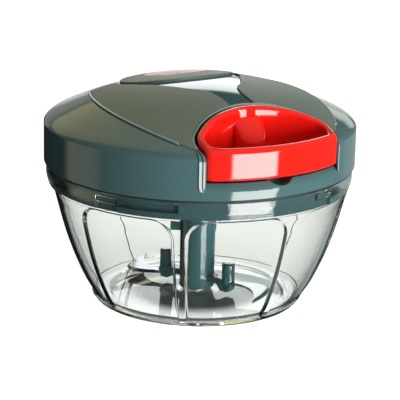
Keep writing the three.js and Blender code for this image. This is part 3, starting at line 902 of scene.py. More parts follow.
@dataclass(frozen=True)
class Metal:
    """Steel with fine grinding lines."""

    name: str
    colour: int = 0xA9ACAF
    roughness: float = 0.24
    line_size: float = 0.25
    line_stretch: float = 0.04
    line_depth: float = 0.004
    line_spread: float = 0.16
    cloud_size: float = 6
    cloud_share: float = 0.86

    def material(self) -> bpy.types.Material:
        """Builds the material.

        Returns:
            The material.
        """
        made = bpy.data.materials.new(self.name)
        graph = Graph(made)
        stretched = graph.node(
            "ShaderNodeMapping",
            None,
            {"Vector": graph.place(), "Scale": (self.line_stretch, 1.0, 1.0)},
        )
        lines = graph.noise(self.line_size, 3, stretched)
        cloud = graph.noise(self.cloud_size)
        base = from_hex(self.colour)
        shader = graph.principled(
            {
                "Base Color": graph.blend(cloud, rgba(base, self.cloud_share), rgba(base)),
                "Metallic": 1.0,
                "Roughness": self.roughness + (lines - 0.5) * self.line_spread,
                "Normal": graph.bump(lines, self.line_depth),
            }
        )
        graph.surface(shader)
        return made


@dataclass(frozen=True)
class Braid:
    """The braided pull cord."""

    name: str = "braided_cord"
    colour: int = 0xD8D4C6
    strand: float = 0.55
    strand_bands: float = 0.31
    distortion: float = 0.4
    # Painted shade: the share of the colour left in the hollows between the strands.
    hollow_painted_shade: float = 0.55
    depth: float = 0.12
    roughness: float = 0.75
    roughness_spread: float = 0.2
    fuzz_size: float = 0.3
    sheen: float = 0.3

    def material(self) -> bpy.types.Material:
        """Builds the material.

        Returns:
            The material.
        """
        made = bpy.data.materials.new(self.name)
        graph = Graph(made)
        place = graph.place()
        height = None
        for turn in (45, -45):
            turned = graph.node(
                "ShaderNodeMapping",
                None,
                {"Vector": place, "Rotation": (0, 0, math.radians(turn))},
            )
            bands = graph.node(
                "ShaderNodeTexWave",
                {"bands_direction": "X"},
                {
                    "Vector": turned,
                    "Scale": self.strand_bands / (self.strand * METRES_PER_MM),
                    "Distortion": self.distortion,
                },
                "Fac",
            )
            height = bands if height is None else height.maths("MAXIMUM", height, bands)
        base = from_hex(self.colour)
        fuzz = graph.noise(self.fuzz_size)
        shader = graph.principled(
            {
                # The hollows between the strands are darker: painted shade.
                "Base Color": graph.blend(height, rgba(base, self.hollow_painted_shade), rgba(base)),
                "Roughness": self.roughness + fuzz * self.roughness_spread,
                "Normal": graph.bump(height, self.depth),
                "Sheen Weight": self.sheen,
            }
        )
        graph.surface(shader)
        return made


@dataclass(frozen=True)
class Finishes:
    """Every finish of the chopper, by record slot."""

    plastics: dict[Slot | Trim, Plastic] = field(
        default_factory=lambda: {
            Slot.GLOSS_TEAL: Plastic(
                "gloss_teal",
                0x405B5E,
                shade=0.05,
                roughness=0.07,
                roughness_spread=0.02,
                coat=0.2,
                wave_size=24,
                wave_depth=0.006,
            ),
            # Painted highlight: a lighter teal for the recess rim and the pad beads.
            Trim.PAINTED_HIGHLIGHT: Plastic(
                "edge_teal",
                0x7F948E,
                shade=0.05,
                roughness=0.2,
                roughness_spread=0.04,
                coat=0.2,
                wave_size=24,
                wave_depth=0.004,
            ),
            # Painted shade: a darker copy of the gloss teal for the skirt seen through the bowl's rim.
            Trim.SHADED_SKIRT: Plastic(
                "skirt_teal",
                0x2B4042,
                shade=0.08,
                roughness=0.14,
                roughness_spread=0.03,
                wave_size=24,
                wave_depth=0.01,
                specular=0.06,
            ),
            Slot.MATTE_TEAL: Plastic(
                "matte_teal",
                0x5F6B60,
                shade=0.1,
                roughness=0.5,
                roughness_spread=0.1,
                wave_size=12,
                wave_depth=0.004,
                grain_size=0.42,
                grain_depth=0.05,
            ),
            Slot.GLOSS_RED: Plastic(
                "gloss_red",
                0xE0190F,
                shade=0.04,
                roughness=0.07,
                roughness_spread=0.02,
                coat=0.4,
                wave_size=20,
                wave_depth=0.008,
            ),
            Slot.INNER_TEAL: Plastic(
                "inner_teal",
                0x284447,
                shade=0.08,
                roughness=0.1,
                roughness_spread=0.03,
                coat=0.2,
                wave_size=6,
                wave_depth=0.03,
            ),
            Slot.WHITE_NYLON: Plastic(
                "white_nylon",
                0xE6E4DC,
                shade=0.04,
                roughness=0.42,
                roughness_spread=0.08,
                wave_size=8,
                wave_depth=0.01,
            ),
            Slot.RUBBER: Plastic(
                "black_rubber",
                0x141616,
                shade=0.2,
                roughness=0.6,
                roughness_spread=0.1,
                wave_size=4,
                wave_depth=0.01,
            ),
        }
    )

    def materials(self) -> dict[Slot | Trim, bpy.types.Material]:
        """Builds every material once.

        Returns:
            The material of each slot and trim.
        """
        made = {slot: plastic.material() for slot, plastic in self.plastics.items()}
        made[Slot.CLEAR] = ClearPlastic().material()
        made[Slot.STEEL] = Metal("ground_steel").material()
        made[Slot.CORD] = Braid().material()
        return made


class Workshop:
    """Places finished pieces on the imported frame."""

    def __init__(self, frame: dict, finishes: dict[Slot | Trim, bpy.types.Material]) -> None:
        """Keeps the frame and the finishes.

        Args:
            finishes: The material of each slot and trim.
        """
        self.frame = frame
        self.finishes = finishes

    def fit(
        self,
        solid: Solid,
        name: str,
        slot: Slot,
        body: Body,
        nodes: Iterable[str] = (),
        sharp: float = 38,
        weighted: bool = True,
        trim: Trim | None = None,
    ) -> bpy.types.Object:
        """Finishes a solid as a piece that rides on a body.

        Args:
            solid: The shape.
            name: The piece's name.
            slot: Its material slot.
            body: The body that it moves with.
            nodes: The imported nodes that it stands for.
            sharp: The angle in degrees from which an edge stays sharp in the shading.
            weighted: Whether large faces count more than small ones in the shading.
            trim: A finish to take in place of the slot's own.

        Returns:
            The piece.
        """
        made = solid.piece(name, self.finishes[trim or slot], sharp, weighted)
        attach(made, body.value)
        if nodes:
            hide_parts(*nodes)
        return made

    def dress(self) -> None:
        """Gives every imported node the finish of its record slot."""
        for row in self.frame["record"]["subparts"]:
            item = self.frame["nodes"][row["node"]]
            item.data.materials.clear()
            item.data.materials.append(self.finishes[Slot(row["material_slot"])])
            LOG.info("dressed %s", row["node"])


@dataclass
class Bowl:
    """The clear bowl with its panels, bayonet lugs and foot, and the pin that the blades turn on.

    The outline's points are shares of the height and of the rim's radius. Fine rows of points, a
    row apart, lie at the foot and where the panels arch. Each point of the pin's nose is a share of
    its radius and how far below its top it lies.
    """

    rim_radius: float = 63
    height: float = 57.6
    wall: float = 2.8
    floor_top: float = 3
    foot_recess: float = 1
    foot_ring: float = 4.5
    foot_bevel: Point = (0.4, 0.15)
    foot_round: float = 0.5
    rim_round: float = 0.35
    floor_round: float = 5
    boss_radius: float = 5.5
    boss_height: float = 1.1
    boss_rounds: Point = (0.8, 0.5)
    outline: tuple[Point, ...] = (
        (0, 0.651),
        (0.012, 0.675),
        (0.06, 0.708),
        (0.16, 0.764),
        (0.3, 0.823),
        (0.45, 0.876),
        (0.6, 0.918),
        (0.72, 0.947),
        (0.8, 0.966),
        (0.87, 0.986),
        (0.93, 1),
        (1, 1),
    )
    panels: int = 8
    panel_depth: float = 1.2
    panel_top: float = 50
    panel_bottom: float = 2.4
    panel_corner: float = 9
    first_pillar: float = 7.5
    pillar_halves: Point = (1.5, 2.4)
    panel_edge: float = 1.0
    row: float = 0.4
    foot_rows: int = 12
    wall_rows: int = 24
    arch_rows: int = 25
    rim_rows: int = 5
    inner_rows: int = 14
    inner_margins: Point = (6, 3)
    step_shares: tuple[Point, ...] = ((0, 0), (0.08, 0.05), (0.45, 0.22), (0.86, 0.8), (1, 1))
    lugs: int = 4
    first_lug: float = -67
    lug_angle: float = 9
    lug_reach: float = 1.3
    lug_height: float = 2.2
    lug_top: float = 55.4
    lug_round: float = 0.35
    steps: int = 640
    seat_height: float = 49.7
    sharp: float = 50
    pin_radius: float = 2
    pin_bottom: float = 2
    pin_top: float = 24
    pin_nose: tuple[Point, ...] = ((1, 1.4), (0.85, 0.5), (0.5, 0))

    def __post_init__(self) -> None:
        """Draws the outer outline, radius and height, from the foot to the rim."""
        points = [(r * self.rim_radius, h * self.height) for h, r in self.outline]
        self.outer = curve_through(points, 8)
        self.heights = [height for _, height in self.outer]

    def radius_at(self, height: float) -> float:
        """The outer radius at a height.

        Args:
            height: The height above the foot.

        Returns:
            The radius.
        """
        after = min(max(bisect.bisect_left(self.heights, height), 1), len(self.outer) - 1)
        (r0, z0), (r1, z1) = self.outer[after - 1 : after + 1]
        return r0 + (r1 - r0) * (height - z0) / max(z1 - z0, TINY)

    def outside(self) -> list[Point]:
        """The outer wall's points, close together at the foot and where the panels arch.

        Returns:
            Radius and height of each, from the foot up.
        """
        wall = self.row * self.foot_rows
        arch = self.panel_top - self.panel_corner
        rim = arch + self.row * self.arch_rows
        spread = (
            (0, wall, self.foot_rows, self.foot_rows),
            (wall, arch, self.wall_rows, self.wall_rows),
            (arch, rim, self.arch_rows, self.arch_rows),
            (rim, self.height - OVERRUN, self.rim_rows, self.rim_rows + 1),
        )
        heights = [
            low + (high - low) * index / rows
            for low, high, rows, count in spread
            for index in range(count)
        ]
        return [(self.radius_at(height), height) for height in heights]

    def inside(self) -> list[Point]:
        """The inner wall's points, from the lid's seat down to where it bends to the floor.

        Returns:
            Radius and height of each.
        """
        above, below = self.inner_margins
        low = self.floor_top + above
        high = low + self.seat_height - above - below
        heights = [low + (high - low) * index / self.inner_rows for index in range(self.inner_rows + 1)]
        return [(self.radius_at(height) - self.wall, height) for height in reversed(heights)]

    def profile(self) -> list[Point]:
        """The turned profile.

        Returns:
            Its points, from the middle of the foot round to the middle of the floor.
        """
        foot_outer = self.outer[0][0]
        foot_inner = foot_outer - self.foot_ring
        rim_inner = self.rim_radius - self.wall
        outside, inside = self.outside(), self.inside()
        rim = filleted(
            [
                (*outside[-1], 0),
                (self.rim_radius, self.height, self.rim_round),
                (rim_inner, self.height, self.rim_round),
                (rim_inner, self.seat_height, 0),
            ],
            3,
        )
        foot_round, top_round = self.boss_rounds
        floor = filleted(
            [
                (*inside[-1], 0),
                (self.radius_at(self.floor_top) - self.wall, self.floor_top, self.floor_round),
                (self.boss_radius, self.floor_top, foot_round),
                (self.boss_radius, self.floor_top + self.boss_height, top_round),
                (0, self.floor_top + self.boss_height, 0),
            ],
            4,
        )
        inwards, up = self.foot_bevel
        return [
            (0, self.foot_recess),
            (foot_inner - self.foot_recess, self.foot_recess),
            (foot_inner, up),
            (foot_inner + inwards, 0),
            (foot_outer - self.foot_round, 0),
            *outside[1:-1],
            *rim,
            *inside[:-1],
            *floor,
        ]

    def panel_share(self, azimuth: float, height: float, radius: float) -> float:
        """How much of a panel's depth a place on the wall has.

        Args:
            azimuth: Its azimuth in degrees.
            height: Its height.
            radius: Its distance from the axis.

        Returns:
            From 0 on a pillar to 1 in a panel, smooth between them.
        """
        spacing = 360 / self.panels
        turns = (azimuth - self.first_pillar) / spacing
        from_middle = spacing / 2 - abs(turns - round(turns)) * spacing
        along = math.radians(from_middle) * radius
        low, high = self.pillar_halves
        pillar = low + (high - low) * min(1.0, height / self.panel_top)
        half = math.radians(spacing / 2 - pillar) * radius
        corner = self.panel_corner
        across = abs(along) - (half - corner)
        rise = height - (self.panel_top - corner)
        side = abs(along) - half
        arch = math.hypot(max(across, 0), max(rise, 0)) - corner
        outside = max(arch if rise > 0 else side, self.panel_bottom - height)
        return eased(0, self.panel_edge, -outside)

    def warped(self, azimuth: float) -> float:
        """Draws the steps of the turn together where the panels' edges run.

        Args:
            azimuth: The azimuth of an even step.

        Returns:
            The azimuth that the step moves to.
        """
        spacing = 360 / self.panels
        turns = (azimuth - self.first_pillar) / spacing
        nearest = round(turns)
        share = (turns - nearest) * 2
        size = abs(share)
        for (a, b), (c, d) in zip(self.step_shares, self.step_shares[1:]):
            if size <= c:
                size = b + (d - b) * (size - a) / (c - a)
                break
        return self.first_pillar + (nearest + math.copysign(size, share) / 2) * spacing

    def solid(self) -> Solid:
        """Builds the bowl.

        Returns:
            The bowl, with its panels and lugs.
        """
        made = Solid.lathe(self.profile(), self.steps)
        for vert in made.mesh.verts:
            radius = math.hypot(vert.co.x, vert.co.y)
            if radius < TINY:
                continue
            azimuth = self.warped(math.degrees(math.atan2(vert.co.x, -vert.co.y)))
            height = vert.co.z
            on_wall = radius > self.radius_at(height) - self.wall / 2
            depth = self.panel_share(azimuth, height, radius) * self.panel_depth if on_wall else 0
            vert.co = towards(azimuth, radius - depth) + Vector((0, 0, height))
        return made.joined(self.lug_set())

    def lug_set(self) -> Solid:
        """The inward bayonet lugs, as one solid of separate parts.

        Returns:
            The lugs.
        """
        inner = self.rim_radius - self.wall
        made = Solid(bmesh.new())
        for index in range(self.lugs):
            middle = self.first_lug + index * 360 / self.lugs
            lug = Solid.sector(
                (inner - self.lug_reach, inner + self.wall / 2),
                (middle - self.lug_angle / 2, middle + self.lug_angle / 2),
                (self.lug_top - self.lug_height, self.lug_top),
            )
            made.added(lug.rounded(self.lug_round, 2))
        return made

    def build(self, shop: Workshop) -> None:
        """Fits the bowl and its spindle pin.

        Args:
            shop: The workshop that fits pieces to the frame.
        """
        shop.fit(self.solid(), "clear_bowl", Slot.CLEAR, Body.BOWL, ["bowl"], self.sharp, False)
        nose = [(self.pin_radius * share, self.pin_top - drop) for share, drop in self.pin_nose]
        foot = [(0, self.pin_bottom), (self.pin_radius, self.pin_bottom)]
        pin = Solid.lathe([*foot, *nose, (0, self.pin_top)], 48)
        shop.fit(pin, "spindle", Slot.STEEL, Body.BOWL, ["spindle_pin"])


@dataclass
class HandleForm:
    """The handle's outline from above, which the lid's recess shares."""

    lid_radius: float = 64
    half_width: float = 29.8
    corner: float = 9
    side: float = 5.94
    back_share: float = 0.5203

    def outline(
        self, margin: float, front_radius: float, front_round: float = 0, steps: int = 40
    ) -> list[Point]:
        """The outline, grown outwards by a margin.

        Args:
            margin: How far it is grown.
            front_radius: The radius of its front.
            front_round: The radius of its two front corners, 0 for sharp ones.
            steps: How many pieces its front and its back are cut into.

        Returns:
            The points, anticlockwise.
        """
        back_y = -self.lid_radius * self.back_share
        corner_x = self.half_width - self.corner
        corner_y = self.side - math.sqrt(self.lid_radius**2 - self.half_width**2)
        drop = back_y - corner_y
        back = (corner_x**2 + drop**2 - self.corner**2) / (2 * (drop - self.corner))
        centre_y = back_y - back
        turn = math.atan2(corner_y - centre_y, corner_x)
        half = self.half_width + margin
        down = -math.pi / 2
        round_x = half - front_round
        round_y = -math.sqrt((front_radius - front_round) ** 2 - round_x**2)
        front = math.atan2(round_x, -round_y)
        right = arc((corner_x, corner_y), self.corner + margin, 0, turn, steps // 3)
        if front_round > 0:
            right = [*arc((round_x, round_y), front_round, down + front, 0, 8)[1:], *right]
        left = [(-x, y) for x, y in reversed(right)]
        return [
            *arc((0, 0), front_radius, down - front, down + front, steps),
            *right,
            *arc((0, centre_y), back + margin, turn, math.pi - turn, steps)[1:-1],
            *left,
        ]


@dataclass
class Lid:
    """The domed lid cover with the handle's recess, its pads, its medallion and its badge.

    The shoulder's points are shares of its width and of its height. The medallion and the badge are
    given by half their length, half their width and the place of their middle. The strips' foot
    gives the turn in degrees, the height and the scale of each section.
    """

    radius: float = 64
    wall: float = 2.2
    seam: float = 58.6
    dome_top: float = 92
    dome_edge: float = 78.9
    shoulder_radius: float = 58
    shoulder_height: float = 74.8
    shoulder: tuple[Point, ...] = ((0, 0), (0.34, 0.22), (0.67, 0.5), (0.88, 0.75), (1, 1))
    recess_gap: float = 1
    recess_wall: float = 1.8
    recess_floor: float = 65.3
    recess_floor_thickness: float = 3.3
    recess_round: float = 0.9
    foot_round: float = 0.5
    dome_steps: int = 28
    dip_radius: float = 7.5
    dip_depth: float = 2.1
    dip_length: float = 9
    dip_round: float = 2.4
    cord_height: float = 72
    guide_radius: float = 3.1
    guide_run: Point = (29, 35)
    pad_thickness: float = 0.65
    pad_seat: float = 0.08
    medallion_thickness: float = 1.1
    pad_outer_radius: float = 80
    pad_inset: float = 19
    pad_outer_middle: float = -8
    pad_back_round: float = 7
    pad_back_y: float = 27
    channel_half: float = 5.6
    pad_inner_y: float = -20
    pad_inner_round: float = 6
    pad_gap: float = 1.4
    pad_round: float = 0.3
    medallion: tuple[float, float, float] = (25, 18, 20)
    medallion_round: float = 0.25
    badge: tuple[float, float, float] = (14, 9.2, 21)
    badge_gap: float = 0.3
    badge_round: float = 0.3
    rim_bead: float = 0.5
    rim_bead_start: float = 3
    strip_margin: float = 1.75
    strip_over: float = 6
    strip_steps: int = 8
    strip_taper: float = 0.11
    strip_heights: tuple[float, ...] = (66, 68, 70, 72, 74)
    strip_section: tuple[Point, ...] = (
        (-1.6, -0.5),
        (1.6, -0.5),
        (1.5, 0.02),
        (1.1, 0.35),
        (0.35, 0.62),
        (0.15, 0.1),
        (-0.15, 0.1),
        (-0.35, 0.22),
        (-1.25, 0.55),
        (-1.6, 0),
    )
    strip_foot: tuple[tuple[float, float, float], ...] = (
        (-0.9, 62.3, 0.25),
        (-0.5, 62.5, 0.45),
        (-0.2, 62.9, 0.65),
        (-0.05, 63.5, 0.85),
        (0, 64.4, 0.95),
    )
    ledge_flare: Point = (2.2, 3)
    ledge_flare_shares: tuple[Point, ...] = ((1, 0), (1 / 3, 1 / 2.2), (0, 1))
    ledge_flare_past: float = 1.5
    ledge_back: float = -40
    pad_shoulder: tuple[Point, ...] = ((24, 9.5), (17.6, -2), (12.2, -11))
    pad_bead: float = 0.45
    pad_bead_front: float = -45
    pad_bead_shares: Point = (0.6, 0.7)
    form: HandleForm = field(default_factory=HandleForm)

    def dome_height(self, radius: float) -> float:
        """The dome's height at a distance from the axis.

        Args:
            radius: The distance.

        Returns:
            The height.
        """
        rise = self.dome_top - self.dome_edge
        ball = (self.shoulder_radius**2 + rise**2) / (2 * rise)
        return self.dome_top - ball + math.sqrt(ball**2 - radius**2)

    def outline(self, lift: float, bottom: float, wall_radius: float) -> list[Point]:
        """The lid's outline from its top down.

        Args:
            lift: How far its dome is moved up.
            bottom: The height that it ends at.
            wall_radius: The radius of its upright wall.

        Returns:
            The outline's points, radius and height.
        """
        reach = wall_radius - (self.radius - self.shoulder_radius)
        radii = [reach * index / self.dome_steps for index in range(self.dome_steps)]
        dome = [(radius, self.dome_height(radius) + lift) for radius in radii]
        edge = self.dome_height(reach) + lift
        drop = edge - self.shoulder_height - lift
        shoulder = [
            (reach + (wall_radius - reach) * out, edge - drop * down)
            for out, down in curve_through(self.shoulder, 5)
        ]
        return [*dome, *shoulder, (wall_radius, bottom)]

    def cover(self) -> Solid:
        """The lid cover: a shell with the handle's recess, its ledge and its finger dip.

        Returns:
            The cover.
        """
        outside = self.outline(0, self.seam, self.radius)[:-1]
        foot = filleted(
            [
                (self.radius, self.seam + 2 * OVERRUN, 0),
                (self.radius, self.seam, self.foot_round),
                (0, self.seam, 0),
            ]
        )
        full = Solid.lathe([*outside, *foot])
        hollow_line = self.outline(-self.wall, self.seam - OVERRUN, self.radius - self.wall)
        hollow = Solid.lathe([*hollow_line, (0, self.seam - OVERRUN)], 128)
        block = Solid.prism(
            self.form.outline(self.recess_gap + self.recess_wall, self.radius),
            self.recess_floor - self.recess_floor_thickness,
            self.dome_top,
        )
        block.kept(full.copied())
        made = full.cut(hollow).joined(block)
        return made.cut(self.recess()).cut(self.dip()).cut(self.flare()).cut(self.guide_hole())

    def recess(self) -> Solid:
        """What is cut away for the handle.

        Returns:
            The solid to cut with.
        """
        made = Solid.prism(
            self.form.outline(self.recess_gap, self.radius + 3 * OVERRUN),
            self.recess_floor,
            self.dome_top + OVERRUN,
        )
        return made.rounded(self.recess_round, 3, 60, lambda co: co.z < self.recess_floor + TINY)

    def dip(self) -> Solid:
        """What is cut away for a fingertip under the handle's front.

        Returns:
            The solid to cut with.
        """
        made = Solid.prism(circle(self.dip_radius, 48), 0, self.dip_length + OVERRUN)
        made.rounded(self.dip_round, 4, 60, lambda co: co.z < TINY)
        return made.turned(90, "X").moved(
            0,
            -self.radius + self.dip_length,
            self.recess_floor + self.dip_radius - self.dip_depth,
        )

    def flare(self) -> Solid:
        """What is cut away where the ledge under the handle flares down to the wall.

        Returns:
            The solid to cut with.
        """
        inwards, down = self.ledge_flare
        floor = self.recess_floor
        past = self.radius + 2 * OVERRUN
        made = Solid.lathe(
            [
                *((self.radius - inwards * a, floor - down * b) for a, b in self.ledge_flare_shares),
                (past, floor - down * self.ledge_flare_past),
                (past, floor + OVERRUN),
                (self.radius - inwards, floor + OVERRUN),
            ]
        )
        width = self.form.half_width + self.recess_gap
        low = (-width, -self.radius - 3 * OVERRUN, floor - 3 * down)
        high = (width, self.ledge_back, floor + 2 * OVERRUN)
        return made.kept(Solid.block(low, high))

    def guide_hole(self) -> Solid:
        """The hole for the cord's guide."""
        made = Solid.prism(circle(self.guide_radius, 32), *self.guide_run)
        return made.turned(90, "X").moved(0, 0, self.cord_height)

    def rim(self) -> Solid:
        """The bead along the recess's rim.

        Returns:
            The bead.
        """
        margin = self.recess_gap + self.rim_bead
        rim = [
            (x, y)
            for x, y in reversed(self.form.outline(margin, self.radius))
            if y > self.wall_y(x) + self.rim_bead_start
        ]
        line = [self.on_surface(x, y) for x, y in rim]
        normals = [self.surface_normal(x, y) for x, y in rim]
        return Solid.bead(line, circle(self.rim_bead, 12), normals)

    def wall_y(self, x: float) -> float:
        """Where the wall's front is at a distance from the middle plane."""
        return -math.sqrt(self.radius**2 - x * x)

    def strip(self, side: int) -> Solid:
        """The strip down one front edge of the recess.

        Args:
            side: 1 on the right, -1 on the left.

        Returns:
            The strip.
        """
        x = self.form.half_width + self.strip_margin
        edge = math.degrees(math.asin(x / self.radius))
        places = [*self.strip_foot, *((0, height, 1.0) for height in self.strip_heights)]
        up = [towards(-edge - turn, self.radius) + Vector((0, 0, z)) for turn, z, _ in places]
        steps = range(1, self.strip_steps + 1)
        over = [(-x, self.wall_y(x) + self.strip_over * step / self.strip_steps) for step in steps]
        line = [*up, *(self.on_surface(a, b) for a, b in over)]
        normals = [Vector((point.x, point.y, 0)) for point in up]
        normals += [self.surface_normal(a, b) for a, b in over]
        scales = [scale for _, _, scale in places]
        scales += [1 - self.strip_taper * step for step in steps]
        made = Solid.bead(line, self.strip_section, normals, scales)
        if side > 0:
            bmesh.ops.scale(made.mesh, vec=(-1, 1, 1), verts=made.mesh.verts)
        return made.tidied()

    def surface_normal(self, x: float, y: float) -> Vector:
        """The direction out of the cover's surface at a place.

        Args:
            x: How far the place lies to the right.
            y: How far it lies back.

        Returns:
            The direction, one long.
        """
        step = 0.2
        slope_x = self.surface_height(x + step, y) - self.surface_height(x - step, y)
        slope_y = self.surface_height(x, y + step) - self.surface_height(x, y - step)
        return Vector((-slope_x, -slope_y, 2 * step)).normalized()

    def on_surface(self, x: float, y: float, lift: float = 0) -> Vector:
        """The point of the cover's surface at a place, moved up by a lift."""
        return Vector((x, y, self.surface_height(x, y) + lift))

    def surface_height(self, x: float, y: float) -> float:
        """The cover's height at a place, on its dome or its shoulder.

        Args:
            x: How far the place lies to the right.
            y: How far it lies back.

        Returns:
            The height.
        """
        radius = math.hypot(x, y)
        line = self.outline(0, self.seam, self.radius)
        for (r0, z0), (r1, z1) in zip(line, line[1:]):
            if r0 <= radius <= r1 and r1 > r0:
                return z0 + (z1 - z0) * (radius - r0) / (r1 - r0)
        return self.shoulder_height

    def layer(self, thickness: float) -> Solid:
        """A skin of the dome that pads are cut from, let a little way into it.

        Args:
            thickness: How far it stands up.

        Returns:
            The skin.
        """
        sunk = self.pad_seat
        edge = self.shoulder_height + self.pad_seat
        top = self.outline(thickness, edge, self.radius)
        below = self.outline(-sunk, edge - 2 * sunk, self.radius)
        return Solid.lathe([*top, *reversed(below)], 256)

    def pad_outline(self, side: int) -> list[Point]:
        """One pad's outline from above.

        Args:
            side: 1 on the right, -1 on the left.

        Returns:
            The outline's points.
        """
        centre = self.radius - self.pad_inset - self.pad_outer_radius
        front = math.asin((-self.radius - self.pad_outer_middle) / self.pad_outer_radius)
        back = math.asin((self.pad_back_y - self.pad_outer_middle) / self.pad_outer_radius)
        inner = self.medallion[0] - self.pad_gap
        medallion_y = self.medallion[2]
        outer = arc((centre, self.pad_outer_middle), self.pad_outer_radius, front, back, 60)
        back_x = outer[-1][0]
        inner_round = self.pad_inner_round
        corner = (self.channel_half + inner_round / 2, self.pad_inner_y + inner_round)
        points = [
            *outer,
            *bend(
                outer[-1],
                (back_x - self.pad_gap, self.pad_back_y + self.pad_back_round),
                (inner + self.pad_gap, self.pad_back_y),
            ),
            *bend(
                (inner + self.pad_gap, self.pad_back_y),
                (inner + self.pad_gap, medallion_y),
                (inner, medallion_y - self.pad_back_round),
            ),
            *curve_through([*self.pad_shoulder, corner], 5)[:-1],
            *bend(
                corner,
                (self.channel_half, self.pad_inner_y),
                (self.channel_half, self.pad_inner_y - inner_round),
            ),
            (self.channel_half, -self.radius),
        ]
        return [(x * side, y) for x, y in points][::side]

    def pad(self, side: int) -> Solid:
        """One raised pad, clear of the medallion and of the handle's recess.

        Args:
            side: 1 on the right, -1 on the left.

        Returns:
            The pad.
        """
        bottom, top = self.shoulder_height - OVERRUN, self.dome_top + 3 * OVERRUN
        made = self.layer(self.pad_thickness)
        made.kept(Solid.prism(self.pad_outline(side), bottom, top))
        half_length, half_width, y = self.medallion
        medallion = ellipse(half_length + self.pad_gap, half_width + self.pad_gap, y)
        handle = self.form.outline(self.recess_gap + 2 * self.rim_bead, self.radius + OVERRUN)
        for outline in (medallion, handle):
            made.cut(Solid.prism(outline, bottom - OVERRUN, top + OVERRUN))
        return made.rounded(self.pad_round, 2, 50)

    def pad_edge(self, side: int) -> Solid:
        """The glossy bead along one pad's outer edge.

        Args:
            side: 1 on the right, -1 on the left.

        Returns:
            The bead.
        """
        out, up = self.pad_bead_shares
        centre = self.radius - self.pad_inset - self.pad_outer_radius
        reach = self.pad_outer_radius + self.pad_bead * out
        ends = [
            math.asin((y - self.pad_outer_middle) / reach)
            for y in (self.pad_bead_front, self.pad_back_y + self.pad_gap)
        ]
        places = [(x * side, y) for x, y in arc((centre, self.pad_outer_middle), reach, *ends, 80)]
        line = [self.on_surface(x, y, self.pad_thickness * up) for x, y in places]
        normals = [self.surface_normal(x, y) for x, y in places]
        return Solid.bead(line, circle(self.pad_bead, 12), normals)

    def top_ring(self) -> Solid:
        """The medallion, a ring that the badge is let into.

        Returns:
            The medallion.
        """
        bottom, top = self.shoulder_height, self.dome_top + 4 * OVERRUN
        made = self.layer(self.medallion_thickness)
        made.kept(Solid.prism(ellipse(*self.medallion), bottom, top))
        half_length, half_width, y = self.badge
        hole = ellipse(half_length + self.badge_gap, half_width + self.badge_gap, y)
        made.cut(Solid.prism(hole, bottom - OVERRUN, top + OVERRUN))
        return made.rounded(self.medallion_round, 2, 50)

    def badge_solid(self) -> Solid:
        """The plain oval badge.

        Returns:
            The badge.
        """
        made = self.layer(self.medallion_thickness)
        top = self.dome_top + 4 * OVERRUN
        made.kept(Solid.prism(ellipse(*self.badge), self.shoulder_height, top))
        return made.rounded(self.badge_round, 3, 50)

    def build(self, shop: Workshop) -> None:
        """Fits the cover and what is on it.

        Args:
            shop: The workshop that fits pieces to the frame.
        """
        gloss, matte, lid = Slot.GLOSS_TEAL, Slot.MATTE_TEAL, Body.LID
        shop.fit(self.cover(), "domed_cover", gloss, lid, ["lid_cover"])
        # The recess rim and the pad beads take the lighter teal that paints their highlight.
        shop.fit(self.rim(), "recess_rim", gloss, lid, trim=Trim.PAINTED_HIGHLIGHT)
        sides = (("left", -1), ("right", 1))
        for name, side in sides:
            shop.fit(self.strip(side), f"recess_strip_{name}", gloss, lid)
        for name, side in sides:
            shop.fit(self.pad_edge(side), f"pad_bead_{name}", gloss, lid, trim=Trim.PAINTED_HIGHLIGHT)
        for name, side in sides:
            shop.fit(self.pad(side), f"grained_pad_{name}", matte, lid, [f"{name}_pad"])
        shop.fit(self.top_ring(), "grained_medallion", matte, lid, ["top_medallion"])
        shop.fit(self.badge_solid(), "plain_badge", Slot.GLOSS_RED, lid, ["badge_inlay"])


